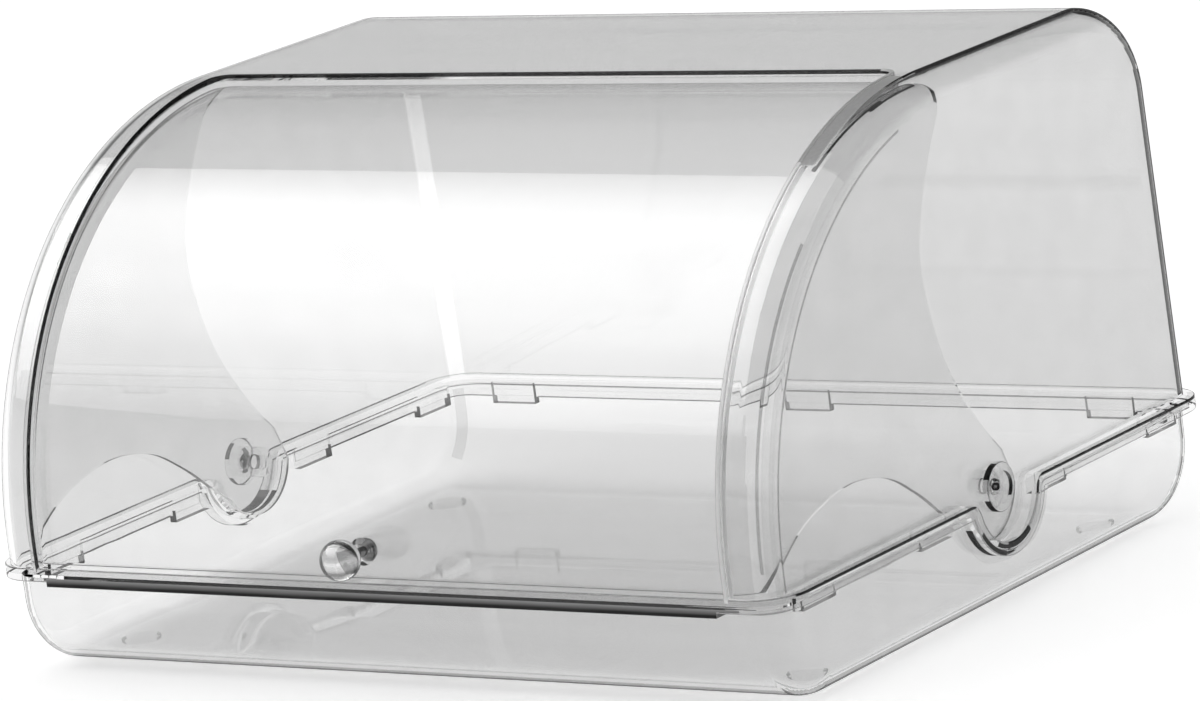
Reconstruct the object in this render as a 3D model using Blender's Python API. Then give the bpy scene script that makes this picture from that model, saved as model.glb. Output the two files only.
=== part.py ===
"""Countertop bread display bin: a clear tray, a clear hood and a clear door that swings up inside it.

Lengths are in metres. X runs across the bin, Y from the door to the rear wall, Z is up.
The heights of the rim, the hood and the door are measured from the rim plane, which is the top
face of the hood's flange.
"""
import math

import bmesh
import bpy
from mathutils import Vector

# Overall sizes
RIM_WIDTH = 0.380
RIM_DEPTH = 0.314
RIM_CORNER_RADIUS = 0.018
RIM_OVERHANG = 0.006
TRAY_DEPTH = 0.0455
HOOD_ARC_RISE = 0.007
WALL = 0.0024
GAP = 0.0003

# Rim stack, from the hood's flange down to the tray's flange
FLANGE_THICKNESS = 0.0026
SKIRT_DEPTH = 0.0094
SKIRT_THICKNESS = 0.002
CORNER_RADIUS = 0.012

# Saddle: the dip of both rims around the pivot, its radius and its lead-in at the rim plane
PIVOT_Y = 0.0016
PIVOT_RISE = 0.0009
SADDLE_RADIUS = 0.021
SADDLE_LEAD_RADIUS = 0.006
SADDLE_LEAD_LEAST = 0.0006

# Tray
TRAY_BOTTOM_RADIUS = 0.030
FRONT_BAR_END_MARGIN = 0.024
FRONT_BAR_DROP = 0.0044
FRONT_BAR_SETBACK = 0.0004
FOOT_RADIUS = 0.008
FOOT_HEIGHT = 0.0015
FOOT_SIDE_MARGIN = 0.024
FOOT_END_MARGIN = 0.046
FOOT_EDGE = 0.0004

# Hood
HOOD_ARC_CENTRE_Y = 0.0007
HOOD_FRONT_SETBACK = 0.0003
HOOD_REAR_RADIUS = 0.040
HOOD_REAR_SETBACK = 0.0076
HOOD_REAR_DRAFT = math.radians(1.9)
OPENING_SIDE_MARGIN = 0.019
OPENING_TOP_SETBACK = 0.001
OPENING_CORNER_RADIUS = 0.008
BEAD_RADIUS = 0.0019
TAB_WIDTH = 0.022
TAB_DEPTH = 0.0125
TAB_SIDE_Y = 0.042
TAB_FRONT_MARGIN = 0.029
TAB_BACK_MARGIN = 0.022
TAB_REAR_SIDE_MARGIN = 0.0365
TAB_PROUD = 0.0004

# Door
DOOR_FRONT_CLEARANCE = 0.003
DOOR_WALL = 0.0022
DOOR_SIDE_CLEARANCE = 0.0038
DOOR_CORNER_RADIUS = 0.014
DOOR_LOBE_RADIUS = 0.022
DOOR_LIP = 0.0036
DOOR_TOP_CORNER_RADIUS = 0.004

# Pivots
PIN_RADIUS = 0.0028
PIN_CLEARANCE = 0.0003
PIN_HEAD_RADIUS = 0.00625
PIN_HEAD_HEIGHT = 0.002
PIN_BORE_RADIUS = 0.0015
PIN_BORE_DEPTH = 0.006
PIN_INNER_REACH = 0.0052
COLLAR_RADIUS = 0.00975
COLLAR_THICKNESS = 0.0015
COLLAR_LIP = 0.001
RETAINER_RADIUS = 0.00625
RETAINER_THICKNESS = 0.003
SPACER_RADIUS = 0.00625
PIVOT_EDGE = 0.0004

# Knob
KNOB_X = -0.004
KNOB_RISE = 0.0113
KNOB_BALL_RADIUS = 0.008
KNOB_BALL_REACH = 0.0155
KNOB_STEM_RADIUS = 0.0034
KNOB_BASE_RADIUS = 0.0055
KNOB_BASE_HEIGHT = 0.0016
SCREW_RADIUS = 0.0015
SCREW_HEAD_RADIUS = 0.003
SCREW_HEAD_HEIGHT = 0.0018
SCREW_DEPTH_IN_KNOB = 0.008
SCREW_DRIVE_RADIUS = 0.0012
SCREW_DRIVE_DEPTH = 0.0009
SCREW_WASHER_RADIUS = 0.0045
SCREW_WASHER_THICKNESS = 0.0008
SCREW_CLEARANCE = 0.0003

# How far cutting bodies run past what they cut
OVERRUN = 0.012

# Counts of straight pieces in the round stretches
ARC_STEPS = 24
BEAD_STEPS = 19
REAR_ARC_STEPS = 8
FILLET_STEPS = 4
SADDLE_STEPS = 14
LEAD_STEPS = 3
CORNER_STEPS = 4
ROUND_STEPS = 24
CURVE_STEPS = 4
TUBE_SIDES = 8

# Door outline beside the pivot, as shares of the door's radius, measured from the pivot
WING_REAR_SHARES = (
    (0.026, 0.985),
    (-0.060, 0.890),
    (-0.138, 0.735),
    (-0.166, 0.586),
    (-0.116, 0.369),
    (-0.004, 0.185),
    (0.100, 0.070),
)
WING_ARCH_SHARES = (
    (-0.197, -0.020),
    (-0.300, 0.062),
    (-0.430, 0.136),
    (-0.600, 0.163),
    (-0.793, 0.122),
    (-0.920, 0.048),
)

# Worked out from the sizes above
TRAY_BOTTOM_Z = FOOT_HEIGHT + GAP
RIM_Z = TRAY_BOTTOM_Z + TRAY_DEPTH
PIVOT_Z = RIM_Z + PIVOT_RISE
ARC_CENTRE_Z = RIM_Z + HOOD_ARC_RISE
SIDE_X = RIM_WIDTH / 2 - RIM_OVERHANG
TRAY_HALF_DEPTH = RIM_DEPTH / 2 - RIM_OVERHANG
HOOD_ARC_RADIUS = RIM_DEPTH / 2 + HOOD_ARC_CENTRE_Y - HOOD_FRONT_SETBACK
HOOD_REAR_CENTRE_Y = RIM_DEPTH / 2 - HOOD_REAR_SETBACK - HOOD_REAR_RADIUS
OPENING_HALF_WIDTH = SIDE_X - OPENING_SIDE_MARGIN
OPENING_TOP_Y = HOOD_ARC_CENTRE_Y - OPENING_TOP_SETBACK
DOOR_RADIUS = HOOD_ARC_RADIUS - WALL - DOOR_FRONT_CLEARANCE
TRAY_FLANGE_TOP = FLANGE_THICKNESS + GAP
TRAY_FLANGE_BOTTOM = TRAY_FLANGE_TOP + FLANGE_THICKNESS
SKIRT_INSET = RIM_OVERHANG + WALL + GAP
DOOR_SIDE_X = SIDE_X - WALL - DOOR_SIDE_CLEARANCE
HOLE_RADIUS = PIN_RADIUS + PIN_CLEARANCE
KNOB_ANGLE = math.pi - math.asin((KNOB_RISE - HOOD_ARC_RISE) / DOOR_RADIUS)
FRONT_REACH = (DOOR_RADIUS + KNOB_BALL_REACH) * math.cos(KNOB_ANGLE) + HOOD_ARC_CENTRE_Y - KNOB_BALL_RADIUS
BODY_Y = -(FRONT_REACH + RIM_DEPTH / 2) / 2


def material(name, colour, alpha, roughness):
    """A Principled material for one sub-part."""
    made = bpy.data.materials.new(name)
    made.use_nodes = True
    shader = made.node_tree.nodes["Principled BSDF"]
    shader.inputs["Base Color"].default_value = (*colour, 1.0)
    shader.inputs["Alpha"].default_value = alpha
    shader.inputs["Roughness"].default_value = roughness
    shader.inputs["Metallic"].default_value = 0.0
    made.diffuse_color = (*colour, alpha)
    return made


def solid(name, points, faces):
    """A closed body from points and faces, with its faces turned outwards."""
    mesh = bpy.data.meshes.new(name)
    body = bmesh.new()
    corners = [body.verts.new(point) for point in points]
    for face in faces:
        body.faces.new([corners[index] for index in face])
    bmesh.ops.recalc_face_normals(body, faces=body.faces)
    body.to_mesh(mesh)
    body.free()
    made = bpy.data.objects.new(name, mesh)
    bpy.context.collection.objects.link(made)
    return made


def stacked(name, rings):
    """A body from rings of equal length, joined side by side and capped at both ends."""
    count = len(rings[0])
    points = [point for ring in rings for point in ring]
    faces = []
    for level in range(len(rings) - 1):
        low = level * count
        for step in range(count):
            after = (step + 1) % count
            faces.append((low + step, low + after, low + count + after, low + count + step))
    faces.append(tuple(range(count)))
    faces.append(tuple(range((len(rings) - 1) * count, len(rings) * count)))
    return solid(name, points, faces)


def hoop(name, loops):
    """A closed band from loops of equal length, each joined to the next and the last to the first."""
    count = len(loops[0])
    points = [point for loop in loops for point in loop]
    faces = []
    for level in range(len(loops)):
        low = level * count
        high = (level + 1) % len(loops) * count
        for step in range(count):
            after = (step + 1) % count
            faces.append((low + step, low + after, high + after, high + step))
    return solid(name, points, faces)


def combine(target, other, operation):
    """Join, cut or keep the target by another body, which is used up."""
    change = target.modifiers.new(operation.lower(), "BOOLEAN")
    change.operation = operation
    change.solver = "EXACT"
    change.object = other
    settled = target.evaluated_get(bpy.context.evaluated_depsgraph_get())
    old_mesh = target.data
    target.data = bpy.data.meshes.new_from_object(settled)
    target.data.name = target.name
    target.modifiers.clear()
    bpy.data.objects.remove(other)
    bpy.data.meshes.remove(old_mesh)


def arc(centre_u, centre_v, radius, start, end, steps):
    """Points of a circular arc, both ends included."""
    return [
        (
            centre_u + radius * math.cos(start + (end - start) * step / steps),
            centre_v + radius * math.sin(start + (end - start) * step / steps),
        )
        for step in range(steps + 1)
    ]


def smooth_curve(points, steps):
    """A curve that passes smoothly through the given points."""
    padded = [points[0], *points, points[-1]]
    curve = []
    for index in range(len(points) - 1):
        before, start, end, after = padded[index:index + 4]
        for step in range(steps):
            t = step / steps
            curve.append(tuple(
                start[axis]
                + (end[axis] - before[axis]) * t / 2
                + (2 * before[axis] - 5 * start[axis] + 4 * end[axis] - after[axis]) * t ** 2 / 2
                + (3 * start[axis] - before[axis] - 3 * end[axis] + after[axis]) * t ** 3 / 2
                for axis in range(2)
            ))
    curve.append(points[-1])
    return curve


def across(outline, x):
    """A side-view outline placed at one X."""
    return [Vector((x, y, z)) for y, z in outline]


def prism(name, outline, half_width):
    """A side-view outline run straight across the bin."""
    return stacked(name, [across(outline, -half_width), across(outline, half_width)])


def rounded_prism(name, profile, half_width, corner_radius):
    """A profile run across the bin whose edges round into flat sides.

    profile(inset) gives the side view drawn in by that much.
    """
    near = []
    for step in range(FILLET_STEPS + 1):
        angle = math.pi / 2 * step / FILLET_STEPS
        inset = corner_radius * (1 - math.sin(angle))
        near.append((half_width - corner_radius * (1 - math.cos(angle)), inset))
    rings = [across(profile(inset), x) for x, inset in near]
    rings += [across(profile(inset), -x) for x, inset in reversed(near)]
    return stacked(name, rings)


def box(name, low, high):
    """A box between two corners."""
    rings = []
    for z in (low[2], high[2]):
        rings.append([
            Vector((low[0], low[1], z)),
            Vector((high[0], low[1], z)),
            Vector((high[0], high[1], z)),
            Vector((low[0], high[1], z)),
        ])
    return stacked(name, rings)


def turned(name, profile, bore=None):
    """A turned body about Z from (radius, height) pairs running outside, bottom to top.

    bore is a list of the same kind, running top to bottom, for a blind hole from the top.
    """
    outline = list(profile) + list(bore or [])
    rings = []
    for radius, height in outline:
        rings.append([
            Vector((radius * math.cos(math.tau * step / ROUND_STEPS),
                    radius * math.sin(math.tau * step / ROUND_STEPS), height))
            for step in range(ROUND_STEPS)
        ])
    return stacked(name, rings)


def turned_ring(name, profile):
    """A ring about Z from a closed outline of (radius, height) pairs."""
    loops = []
    for radius, height in profile:
        loops.append([
            Vector((radius * math.cos(math.tau * step / ROUND_STEPS),
                    radius * math.sin(math.tau * step / ROUND_STEPS), height))
            for step in range(ROUND_STEPS)
        ])
    return hoop(name, loops)


def tube(name, path, radius):
    """A round bar along a path of points, its ends cut square."""
    rings = []
    side = None
    for index, point in enumerate(path):
        before = path[max(index - 1, 0)]
        after = path[min(index + 1, len(path) - 1)]
        along = (after - before).normalized()
        if side is None:
            side = along.orthogonal().normalized()
        side = (side - along * side.dot(along)).normalized()
        up = along.cross(side)
        rings.append([
            point
            + side * radius * math.cos(math.tau * (step + 0.5) / TUBE_SIDES)
            + up * radius * math.sin(math.tau * (step + 0.5) / TUBE_SIDES)
            for step in range(TUBE_SIDES)
        ])
    return stacked(name, rings)


def rim_path(depth):
    """Side view of the rim at some depth below the rim plane, front to rear, with its saddle."""
    level = RIM_Z - depth
    radius = SADDLE_RADIUS + depth
    lead = max(SADDLE_LEAD_RADIUS - depth, SADDLE_LEAD_LEAST)
    drop = PIVOT_Z - level + lead
    reach = math.sqrt((radius + lead) ** 2 - drop ** 2)
    tilt = math.atan2(drop, reach)
    rear = arc(PIVOT_Y + reach, level - lead, lead, math.pi - tilt, math.pi / 2, LEAD_STEPS)
    front = arc(PIVOT_Y - reach, level - lead, lead, math.pi / 2, tilt, LEAD_STEPS)
    dip = arc(PIVOT_Y, PIVOT_Z, radius, tilt - math.pi, -tilt, SADDLE_STEPS)
    return front + dip[1:-1] + rear


def rim_loop(depth, inset):
    """The rim's loop at some depth, drawn in from the flange's edge, once round the bin."""
    half_width = RIM_WIDTH / 2 - inset
    half_depth = RIM_DEPTH / 2 - inset
    corner = max(RIM_CORNER_RADIUS - inset, CORNER_RADIUS - WALL - GAP - SKIRT_THICKNESS)
    level = RIM_Z - depth
    corner_x = half_width - corner
    corner_y = half_depth - corner
    quarter = math.pi / 2
    right = [Vector((half_width, y, z)) for y, z in rim_path(depth)]
    left = [Vector((-point.x, point.y, point.z)) for point in reversed(right)]
    loop = list(right)
    for index, (sign_x, sign_y) in enumerate(((1, 1), (-1, 1), (-1, -1), (1, -1))):
        loop += [
            Vector((x, y, level))
            for x, y in arc(sign_x * corner_x, sign_y * corner_y, corner,
                            quarter * index, quarter * (index + 1), CORNER_STEPS)
        ]
        if index == 1:
            loop += left
    return loop


def flange(name, top, bottom, inner_inset):
    """A flat flange round the rim that follows the saddles."""
    return hoop(name, [
        rim_loop(top, 0),
        rim_loop(bottom, 0),
        rim_loop(bottom, inner_inset),
        rim_loop(top, inner_inset),
    ])


def tray_profile(inset):
    """Side view of the tray, open upwards."""
    front = -TRAY_HALF_DEPTH + inset
    bottom = TRAY_BOTTOM_Z + inset
    radius = TRAY_BOTTOM_RADIUS - inset
    top = RIM_Z + OVERRUN + inset
    outline = [(front, top)]
    outline += arc(front + radius, bottom + radius, radius, math.pi, math.pi * 3 / 2, REAR_ARC_STEPS)
    outline += arc(-front - radius, bottom + radius, radius, -math.pi / 2, 0, REAR_ARC_STEPS)
    outline.append((-front, top))
    return outline


def hood_profile(inset):
    """Side view of the hood: straight foot, front arc, flat top, rear round and rear wall."""
    bottom = RIM_Z - SADDLE_RADIUS - OVERRUN - inset
    radius = HOOD_ARC_RADIUS - inset
    rear_radius = HOOD_REAR_RADIUS - inset
    rear_z = ARC_CENTRE_Z + HOOD_ARC_RADIUS - HOOD_REAR_RADIUS
    outline = [(HOOD_ARC_CENTRE_Y - radius, bottom)]
    outline += arc(HOOD_ARC_CENTRE_Y, ARC_CENTRE_Z, radius, math.pi, math.pi / 2, ARC_STEPS)
    outline += arc(HOOD_REAR_CENTRE_Y, rear_z, rear_radius, math.pi / 2, HOOD_REAR_DRAFT, REAR_ARC_STEPS)
    last_y, last_z = outline[-1]
    outline.append((last_y + math.tan(HOOD_REAR_DRAFT) * (last_z - bottom), bottom))
    return outline


def door_profile(inset):
    """Side view of the space behind the door's panel."""
    radius = DOOR_RADIUS - inset
    low = RIM_Z - SADDLE_RADIUS - OVERRUN - inset
    rear = PIVOT_Y + OVERRUN + inset
    outline = [(HOOD_ARC_CENTRE_Y - radius, low)]
    outline += arc(HOOD_ARC_CENTRE_Y, ARC_CENTRE_Z, radius, math.pi, math.pi / 2, ARC_STEPS)
    outline.append((rear, ARC_CENTRE_Z + radius))
    outline.append((rear + OVERRUN, low))
    return outline


def door_outline():
    """Side view of the door's edge: foot, arch, lobe, rear edge and rounded top corner."""
    shares = [
        [(PIVOT_Y + u * DOOR_RADIUS, PIVOT_Z + v * DOOR_RADIUS) for u, v in table]
        for table in (WING_REAR_SHARES, WING_ARCH_SHARES)
    ]
    rear, arch = shares
    foot_z = RIM_Z + GAP
    foot_y = HOOD_ARC_CENTRE_Y - DOOR_RADIUS + DOOR_WALL + DOOR_LIP
    front = HOOD_ARC_CENTRE_Y - HOOD_ARC_RADIUS - OVERRUN
    top = ARC_CENTRE_Z + HOOD_ARC_RADIUS
    top_y, top_z = rear[0]
    outline = [(front, top), (front, foot_z)]
    outline += reversed(smooth_curve(arch + [(foot_y, foot_z)], CURVE_STEPS))
    outline += arc(PIVOT_Y, PIVOT_Z, DOOR_LOBE_RADIUS, math.radians(-150), math.radians(-10), SADDLE_STEPS)
    outline += reversed(smooth_curve(rear, CURVE_STEPS)[1:])
    outline += arc(top_y - DOOR_TOP_CORNER_RADIUS, top_z, DOOR_TOP_CORNER_RADIUS, 0, math.pi / 2, LEAD_STEPS)
    outline.append((top_y - DOOR_TOP_CORNER_RADIUS, top))
    return outline


def place(item, parent, location=(0, 0, 0), rotation=(0, 0, 0)):
    """Put a body under its carrier."""
    item.parent = parent
    item.location = location
    item.rotation_euler = rotation


def finish(item, look):
    """Give a body its material and smooth shading on its round stretches."""
    item.data.materials.clear()
    item.data.materials.append(look)
    item.data.shade_smooth()
    item.data.set_sharp_from_angle(angle=math.radians(35))


def pivot_hole(name, side_x):
    """A cutting bar for the hole of one pivot."""
    ring = arc(PIVOT_Y, PIVOT_Z, HOLE_RADIUS, 0, math.tau * (ROUND_STEPS - 1) / ROUND_STEPS, ROUND_STEPS - 1)
    return stacked(name, [across(ring, side_x - OVERRUN), across(ring, side_x + OVERRUN)])


def make_tray():
    """The tray: an open box with rounded bottom, a flange with two saddles and a front bar."""
    tray = rounded_prism("base_tray", tray_profile, SIDE_X, CORNER_RADIUS)
    hollow = rounded_prism(
        "tray_hollow", lambda inset: tray_profile(WALL + inset), SIDE_X - WALL, CORNER_RADIUS - WALL)
    combine(tray, hollow, "DIFFERENCE")
    mid_depth = (TRAY_FLANGE_TOP + TRAY_FLANGE_BOTTOM) / 2
    path = rim_path(mid_depth)
    end_y = RIM_DEPTH / 2 + OVERRUN
    level = RIM_Z - mid_depth
    above = [(-end_y, level), *path, (end_y, level), (end_y, level + TRAY_DEPTH), (-end_y, level + TRAY_DEPTH)]
    combine(tray, prism("above_rim", above, RIM_WIDTH), "DIFFERENCE")
    combine(tray, flange("tray_flange", TRAY_FLANGE_TOP, TRAY_FLANGE_BOTTOM, RIM_OVERHANG + WALL), "UNION")
    front = -RIM_DEPTH / 2 + FRONT_BAR_SETBACK
    bar = box(
        "front_bar",
        (FRONT_BAR_END_MARGIN - SIDE_X, front, RIM_Z - TRAY_FLANGE_TOP - FRONT_BAR_DROP),
        (SIDE_X - FRONT_BAR_END_MARGIN, -TRAY_HALF_DEPTH + WALL / 2, RIM_Z - mid_depth))
    combine(tray, bar, "UNION")
    return tray


def hood_tabs():
    """The low corners and high corners of the snap tabs inside the tray's wall."""
    outer = SIDE_X - WALL - GAP - GAP
    inner = SIDE_X - WALL - GAP - SKIRT_THICKNESS - TAB_PROUD
    half = TAB_WIDTH / 2
    low = RIM_Z - TAB_DEPTH
    high = RIM_Z - FLANGE_THICKNESS / 2
    tabs = []
    front = TAB_FRONT_MARGIN - TRAY_HALF_DEPTH
    back = TRAY_HALF_DEPTH - TAB_BACK_MARGIN
    for y in (front, PIVOT_Y - TAB_SIDE_Y, PIVOT_Y + TAB_SIDE_Y, back):
        tabs.append(((inner, y - half, low), (outer, y + half, high)))
        tabs.append(((-outer, y - half, low), (-inner, y + half, high)))
    rear_shift = TRAY_HALF_DEPTH - SIDE_X
    rear_x = SIDE_X - TAB_REAR_SIDE_MARGIN
    for x in (-rear_x, 0, rear_x):
        tabs.append(((x - half, inner + rear_shift, low), (x + half, outer + rear_shift, high)))
    return tabs


def opening_path():
    """The route of the bead round the hood's door opening."""
    radius = HOOD_ARC_RADIUS - WALL / 2
    corner = OPENING_CORNER_RADIUS
    half = OPENING_HALF_WIDTH
    arch = arc(HOOD_ARC_CENTRE_Y, ARC_CENTRE_Z, radius, math.pi, math.pi / 2, BEAD_STEPS)
    side = [(HOOD_ARC_CENTRE_Y - radius, RIM_Z - FLANGE_THICKNESS / 2)]
    side += [(y, z) for y, z in arch if y < OPENING_TOP_Y - corner]
    path = across(side, -half)
    turn_y = OPENING_TOP_Y - corner
    top = []
    for x, y in arc(-half + corner, turn_y, corner, math.pi, math.pi / 2, CORNER_STEPS):
        top.append(Vector((x, y, ARC_CENTRE_Z + math.sqrt(radius ** 2 - (y - HOOD_ARC_CENTRE_Y) ** 2))))
    path += top
    mirrored = [Vector((-point.x, point.y, point.z)) for point in reversed(path)]
    return path + mirrored


def make_hood():
    """The hood: arched shell with a door opening, beaded edge, flange, skirt and snap tabs."""
    hood = rounded_prism("hood", hood_profile, SIDE_X, CORNER_RADIUS)
    hollow = rounded_prism(
        "hood_hollow", lambda inset: hood_profile(WALL + inset), SIDE_X - WALL, CORNER_RADIUS - WALL)
    combine(hood, hollow, "DIFFERENCE")
    mid_depth = FLANGE_THICKNESS / 2
    path = rim_path(mid_depth)
    end_y = RIM_DEPTH / 2 + OVERRUN
    level = RIM_Z - mid_depth
    floor = RIM_Z - SADDLE_RADIUS - OVERRUN - OVERRUN
    below = [(-end_y, level), *path, (end_y, level), (end_y, floor), (-end_y, floor)]
    combine(hood, prism("below_rim", below, RIM_WIDTH), "DIFFERENCE")
    front = -RIM_DEPTH / 2 - OVERRUN
    corner_x = OPENING_HALF_WIDTH - OPENING_CORNER_RADIUS
    corner_y = OPENING_TOP_Y - OPENING_CORNER_RADIUS
    opening = [(-OPENING_HALF_WIDTH, front), (OPENING_HALF_WIDTH, front)]
    opening += arc(corner_x, corner_y, OPENING_CORNER_RADIUS, 0, math.pi / 2, CORNER_STEPS)
    opening += arc(-corner_x, corner_y, OPENING_CORNER_RADIUS, math.pi / 2, math.pi, CORNER_STEPS)
    top = ARC_CENTRE_Z + HOOD_ARC_RADIUS + OVERRUN
    cutter = stacked("opening", [[Vector((x, y, z)) for x, y in opening] for z in (floor, top)])
    combine(hood, cutter, "DIFFERENCE")
    combine(hood, tube("bead", opening_path(), BEAD_RADIUS), "UNION")
    ledge = RIM_OVERHANG + WALL + GAP + SKIRT_THICKNESS + GAP
    combine(hood, flange("hood_flange", 0, FLANGE_THICKNESS, ledge), "UNION")
    combine(hood, make_skirt(), "UNION")
    for low, high in hood_tabs():
        combine(hood, box("tab", low, high), "UNION")
    for side in (-1, 1):
        combine(hood, pivot_hole("hole", side * SIDE_X), "DIFFERENCE")
    return hood


def make_skirt():
    """The skirt that stands inside the tray's wall, left out at the saddles."""
    loops = []
    for depth, inset in (
        (FLANGE_THICKNESS / 2, SKIRT_INSET),
        (SKIRT_DEPTH, SKIRT_INSET),
        (SKIRT_DEPTH, SKIRT_INSET + SKIRT_THICKNESS),
        (FLANGE_THICKNESS / 2, SKIRT_INSET + SKIRT_THICKNESS),
    ):
        loops.append([Vector((p.x, p.y, RIM_Z - depth)) for p in rim_loop(0, inset)])
    skirt = hoop("skirt", loops)
    half = TAB_SIDE_Y - TAB_WIDTH / 2 + TAB_PROUD
    combine(skirt, box(
        "saddle_room",
        (-RIM_WIDTH, PIVOT_Y - half, RIM_Z - SKIRT_DEPTH - OVERRUN),
        (RIM_WIDTH, PIVOT_Y + half, RIM_Z + OVERRUN)), "DIFFERENCE")
    return skirt


def make_door():
    """The door: curved panel with rounded corners and a wing at each side down to the pivot."""
    door = rounded_prism("door", door_profile, DOOR_SIDE_X, DOOR_CORNER_RADIUS)
    hollow = rounded_prism(
        "door_hollow",
        lambda inset: door_profile(DOOR_WALL + inset),
        DOOR_SIDE_X - DOOR_WALL,
        DOOR_CORNER_RADIUS - DOOR_WALL)
    combine(door, hollow, "DIFFERENCE")
    combine(door, prism("door_outline", door_outline(), RIM_WIDTH), "INTERSECT")
    for side in (-1, 1):
        combine(door, pivot_hole("hole", side * DOOR_SIDE_X), "DIFFERENCE")
    return door


def make_foot(name):
    """A round foot pad with an eased lower edge, its top face at zero height."""
    return turned(name, [
        (FOOT_RADIUS - FOOT_EDGE, -FOOT_HEIGHT),
        (FOOT_RADIUS, -FOOT_HEIGHT + FOOT_EDGE),
        (FOOT_RADIUS, 0),
    ])


def make_pin(name):
    """A hollow pin along Z whose head stands above the collar, measured from the hood's face."""
    head_low = COLLAR_THICKNESS + GAP + GAP
    head_top = head_low + PIN_HEAD_HEIGHT
    tip = -(WALL + DOOR_SIDE_CLEARANCE + DOOR_WALL + PIN_INNER_REACH)
    return turned(name, [
        (PIN_RADIUS - PIVOT_EDGE, tip),
        (PIN_RADIUS, tip + PIVOT_EDGE),
        (PIN_RADIUS, head_low),
        (PIN_HEAD_RADIUS, head_low),
        (PIN_HEAD_RADIUS, head_top - PIVOT_EDGE),
        (PIN_HEAD_RADIUS - PIVOT_EDGE, head_top),
    ], bore=[
        (PIN_BORE_RADIUS, head_top),
        (PIN_BORE_RADIUS, head_top - PIN_BORE_DEPTH),
    ])


def make_collar(name):
    """A dished washer between the pin's head and the hood's face."""
    inner = PIN_RADIUS + PIN_CLEARANCE
    low = GAP
    top = GAP + COLLAR_THICKNESS
    return turned_ring(name, [
        (inner, low),
        (COLLAR_RADIUS, low),
        (COLLAR_RADIUS, top + COLLAR_LIP - PIVOT_EDGE),
        (COLLAR_RADIUS - PIVOT_EDGE, top + COLLAR_LIP),
        (COLLAR_RADIUS - COLLAR_LIP, top + COLLAR_LIP),
        (COLLAR_RADIUS - COLLAR_LIP, top),
        (inner, top),
    ])


def make_spacer(name):
    """A plain ring that keeps the door's wing off the hood's wall."""
    inner = PIN_RADIUS + PIN_CLEARANCE
    low = -WALL - DOOR_SIDE_CLEARANCE + GAP
    top = -WALL - GAP
    return turned_ring(name, [(inner, low), (SPACER_RADIUS, low), (SPACER_RADIUS, top), (inner, top)])


def make_retainer(name):
    """A push-on ring that holds the pin inside the door's wing."""
    inner = PIN_RADIUS + GAP
    top = -(WALL + DOOR_SIDE_CLEARANCE + DOOR_WALL + GAP)
    low = top - RETAINER_THICKNESS
    return turned_ring(name, [
        (inner, low),
        (RETAINER_RADIUS - PIVOT_EDGE, low),
        (RETAINER_RADIUS, low + PIVOT_EDGE),
        (RETAINER_RADIUS, top),
        (inner, top),
    ])


def make_knob(name):
    """A ball knob along Z on a short stem, its base at the door's face, bored for its screw."""
    neck = math.asin(KNOB_STEM_RADIUS / KNOB_BALL_RADIUS)
    ball = arc(0, KNOB_BALL_REACH, KNOB_BALL_RADIUS, neck - math.pi / 2, math.radians(80), REAR_ARC_STEPS)
    outer = [
        (KNOB_BASE_RADIUS, GAP),
        (KNOB_BASE_RADIUS, KNOB_BASE_HEIGHT),
        (KNOB_STEM_RADIUS, KNOB_BASE_HEIGHT + KNOB_BASE_RADIUS - KNOB_STEM_RADIUS),
    ]
    outer += ball
    bore_radius = SCREW_RADIUS + SCREW_CLEARANCE
    bore_top = SCREW_DEPTH_IN_KNOB + SCREW_CLEARANCE
    inner = [(bore_radius, bore_top), (bore_radius, GAP)]
    return turned(name, inner + outer)


def make_screw(name):
    """The knob's screw along Z, its head inside the door, with a square drive."""
    seat = -(DOOR_WALL + GAP + SCREW_WASHER_THICKNESS + GAP)
    head = seat - SCREW_HEAD_HEIGHT
    screw = turned(name, [
        (SCREW_HEAD_RADIUS - PIVOT_EDGE, head),
        (SCREW_HEAD_RADIUS, head + PIVOT_EDGE),
        (SCREW_HEAD_RADIUS, seat),
        (SCREW_RADIUS, seat),
        (SCREW_RADIUS, SCREW_DEPTH_IN_KNOB),
    ])
    half = SCREW_DRIVE_RADIUS
    drive = box("drive", (-half, -half, head - OVERRUN), (half, half, head + SCREW_DRIVE_DEPTH))
    combine(screw, drive, "DIFFERENCE")
    return screw


def make_washer(name):
    """The washer between the screw's head and the door's inner face."""
    inner = SCREW_RADIUS + SCREW_CLEARANCE
    top = -(DOOR_WALL + GAP)
    low = top - SCREW_WASHER_THICKNESS
    return turned_ring(name, [(inner, low), (SCREW_WASHER_RADIUS, low), (SCREW_WASHER_RADIUS, top), (inner, top)])


def empty(name, parent, location):
    """A named point that carries other bodies."""
    point = bpy.data.objects.new(name, None)
    bpy.context.collection.objects.link(point)
    place(point, parent, location)
    return point


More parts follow.
